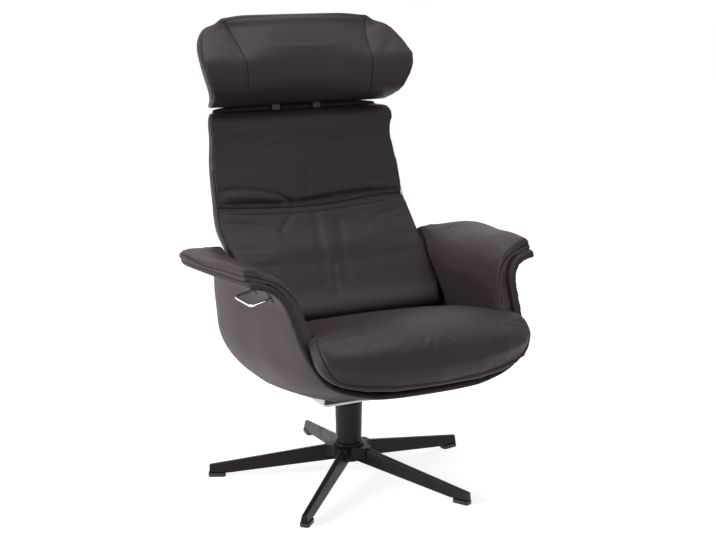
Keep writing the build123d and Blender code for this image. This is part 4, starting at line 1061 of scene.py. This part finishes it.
# Loose leather lies in folds: one long fold above the lumbar seam on the right half,
# soft creases that run down from the seam and short ones beside it. Each fold is its
# (x, z) points, its half width and its depth, and a negative depth is a ridge.
folds = [
    (
        [
            (-0.236, 0.6825),
            (-0.2085, 0.6853),
            (-0.1787, 0.6843),
            (-0.1439, 0.6802),
            (-0.1144, 0.6731),
            (-0.0901, 0.6635),
            (-0.0759, 0.6556),
            (-0.0581, 0.6405),
        ],
        0.0060,
        0.0036,
    ),
    ([(-0.215, 0.668), (-0.150, 0.665), (-0.100, 0.655)], 0.011, -0.0034),
    (
        [
            (-0.0103, 0.6211),
            (-0.0187, 0.5874),
            (-0.0308, 0.5481),
            (-0.036, 0.5122),
            (-0.0402, 0.4837),
        ],
        0.012,
        0.0020,
    ),
    ([(0.010, 0.6180), (0.002, 0.5800), (-0.006, 0.5400), (-0.010, 0.500)], 0.014, -0.0009),
    ([(0.0464, 0.5992), (0.0295, 0.5593), (0.02, 0.5237), (0.02, 0.4948)], 0.012, 0.0020),
    ([(-0.0114, 0.5141), (-0.0166, 0.4898), (-0.0257, 0.4581)], 0.008, 0.0018),
    ([(-0.0674, 0.6255), (-0.0883, 0.6095), (-0.1118, 0.5901)], 0.008, 0.0022),
    ([(0.090, 0.628), (0.105, 0.605), (0.112, 0.575)], 0.009, 0.0016),
    ([(-0.011, 0.7282), (-0.0083, 0.695), (-0.0147, 0.672)], 0.011, 0.0020),
    ([(0.060, 0.660), (0.052, 0.690), (0.058, 0.722)], 0.010, 0.0014),
    ([(0.240, 0.6893), (0.2072, 0.6832), (0.1657, 0.6818)], 0.008, 0.0022),
    ([(0.1556, 0.6586), (0.0698, 0.6561), (0.0138, 0.6512), (-0.0305, 0.6453)], 0.007, 0.0018),
]
for points, width, depth in folds:
    press(back, front_line(back, points), (width, depth))
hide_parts("back_cushion")
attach(back, "back")

# The backrest's rear: a moulded cover in leather that meets the front's side panels at
# both sides. A soft roll along its top closes the gap under the headrest.
back_rear = upholstered("back_cover_upholstery", "back_cover", grid=0.004, relax=6)
cover_with(back_rear, shell_leather)
rows = places(back_rear.data)
roll_height = 0.0085
roll_half = 0.236
across = np.clip(1 - (np.abs(rows[:, 0]) / roll_half) ** 6, 0, 1)
rows[:, 2] += roll_height * across * slope(rows[:, 2], 0.852, 0.012)
place_at(back_rear.data, rows)
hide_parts("back_cover")
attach(back_rear, "back")

# The headrest: two foam halves round a board, in leather. The front has three panels
# with curved seams between them and a seam at each end, and the rear is plain.
shoulder_x = 0.195
shoulder_half = 0.045
shoulder_drop = 0.006
wing_x = 0.240
wing_half = 0.022
wing_rise = 0.009
foot_drop = 0.005


def round_shoulders(piece):
    """Lowers the top edge where the side panels begin and raises it on the wings, so that
    it runs in one curve, and draws the foot down."""
    rows = places(piece.data)
    near_shoulder = np.exp(-(((np.abs(rows[:, 0]) - shoulder_x) / shoulder_half) ** 2))
    high = slope(rows[:, 2], 0.97, 0.11)
    near_wing = np.exp(-(((np.abs(rows[:, 0]) - wing_x) / wing_half) ** 2))
    rows[:, 2] += (wing_rise * near_wing - shoulder_drop * near_shoulder) * high
    rows[:, 2] -= foot_drop * slope(rows[:, 2], 0.925, -0.035)
    place_at(piece.data, rows)


head = upholstered("headrest_upholstery", "headrest_cushion", grid=0.005, relax=14, edge=0.004)
cover_with(head, seat_leather)
round_shoulders(head)
ease_where(head, lambda rows: slope(np.abs(rows[:, 0]), 0.22, 0.04), turns=12)
panel_seam = [
    (0.187, 1.074),
    (0.183, 1.060),
    (0.175, 1.037),
    (0.169, 1.010),
    (0.166, 0.975),
    (0.164, 0.940),
    (0.163, 0.905),
    (0.165, 0.886),
]
end_seam = [
    (-0.2600, 0.302, 1.040),
    (-0.2690, 0.280, 1.022),
    (-0.2740, 0.262, 1.006),
    (-0.2740, 0.250, 0.989),
    (-0.2680, 0.240, 0.960),
    (-0.2590, 0.244, 0.929),
    (-0.2480, 0.267, 0.901),
]
panel_lines = [front_line(head, [(sign * x, z) for x, z in panel_seam]) for sign in (1, -1)]
end_lines = [on_skin(head, smooth_line(points)) for points in (end_seam, mirrored(end_seam))]
swell(
    head,
    panel_lines + end_lines,
    lambda rows, normal: rows[:, 1] > 0.335,
    pressure=2.5,
    shrink=0.0012,
    cap=0.004,
)
refine(head)
for k, line in enumerate(panel_lines + end_lines):
    line = on_skin(head, line)
    depth = 0.0026 if k < len(panel_lines) else 0.0016
    seamed(
        "headrest_seam_%d" % k,
        line,
        head,
        "headrest",
        groove=(0.0026, depth),
        hollow=(0.011, 0.0010),
    )
    beside_line = beside(head, line, stitch_offset)
    stitched("headrest_stitches_%d" % k, beside_line, head, "headrest")
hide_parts("headrest_cushion")
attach(head, "headrest")
head_rear = upholstered(
    "headrest_rear_upholstery", "headrest_cover", grid=0.005, relax=12, edge=0.004
)
cover_with(head_rear, shell_leather)
round_shoulders(head_rear)
swell(
    head_rear,
    [],
    lambda rows, normal: rows[:, 1] < 0.362,
    pressure=2.5,
    shrink=0.002,
    cap=0.004,
)
refine(head_rear)
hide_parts("headrest_cover")
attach(head_rear, "headrest")
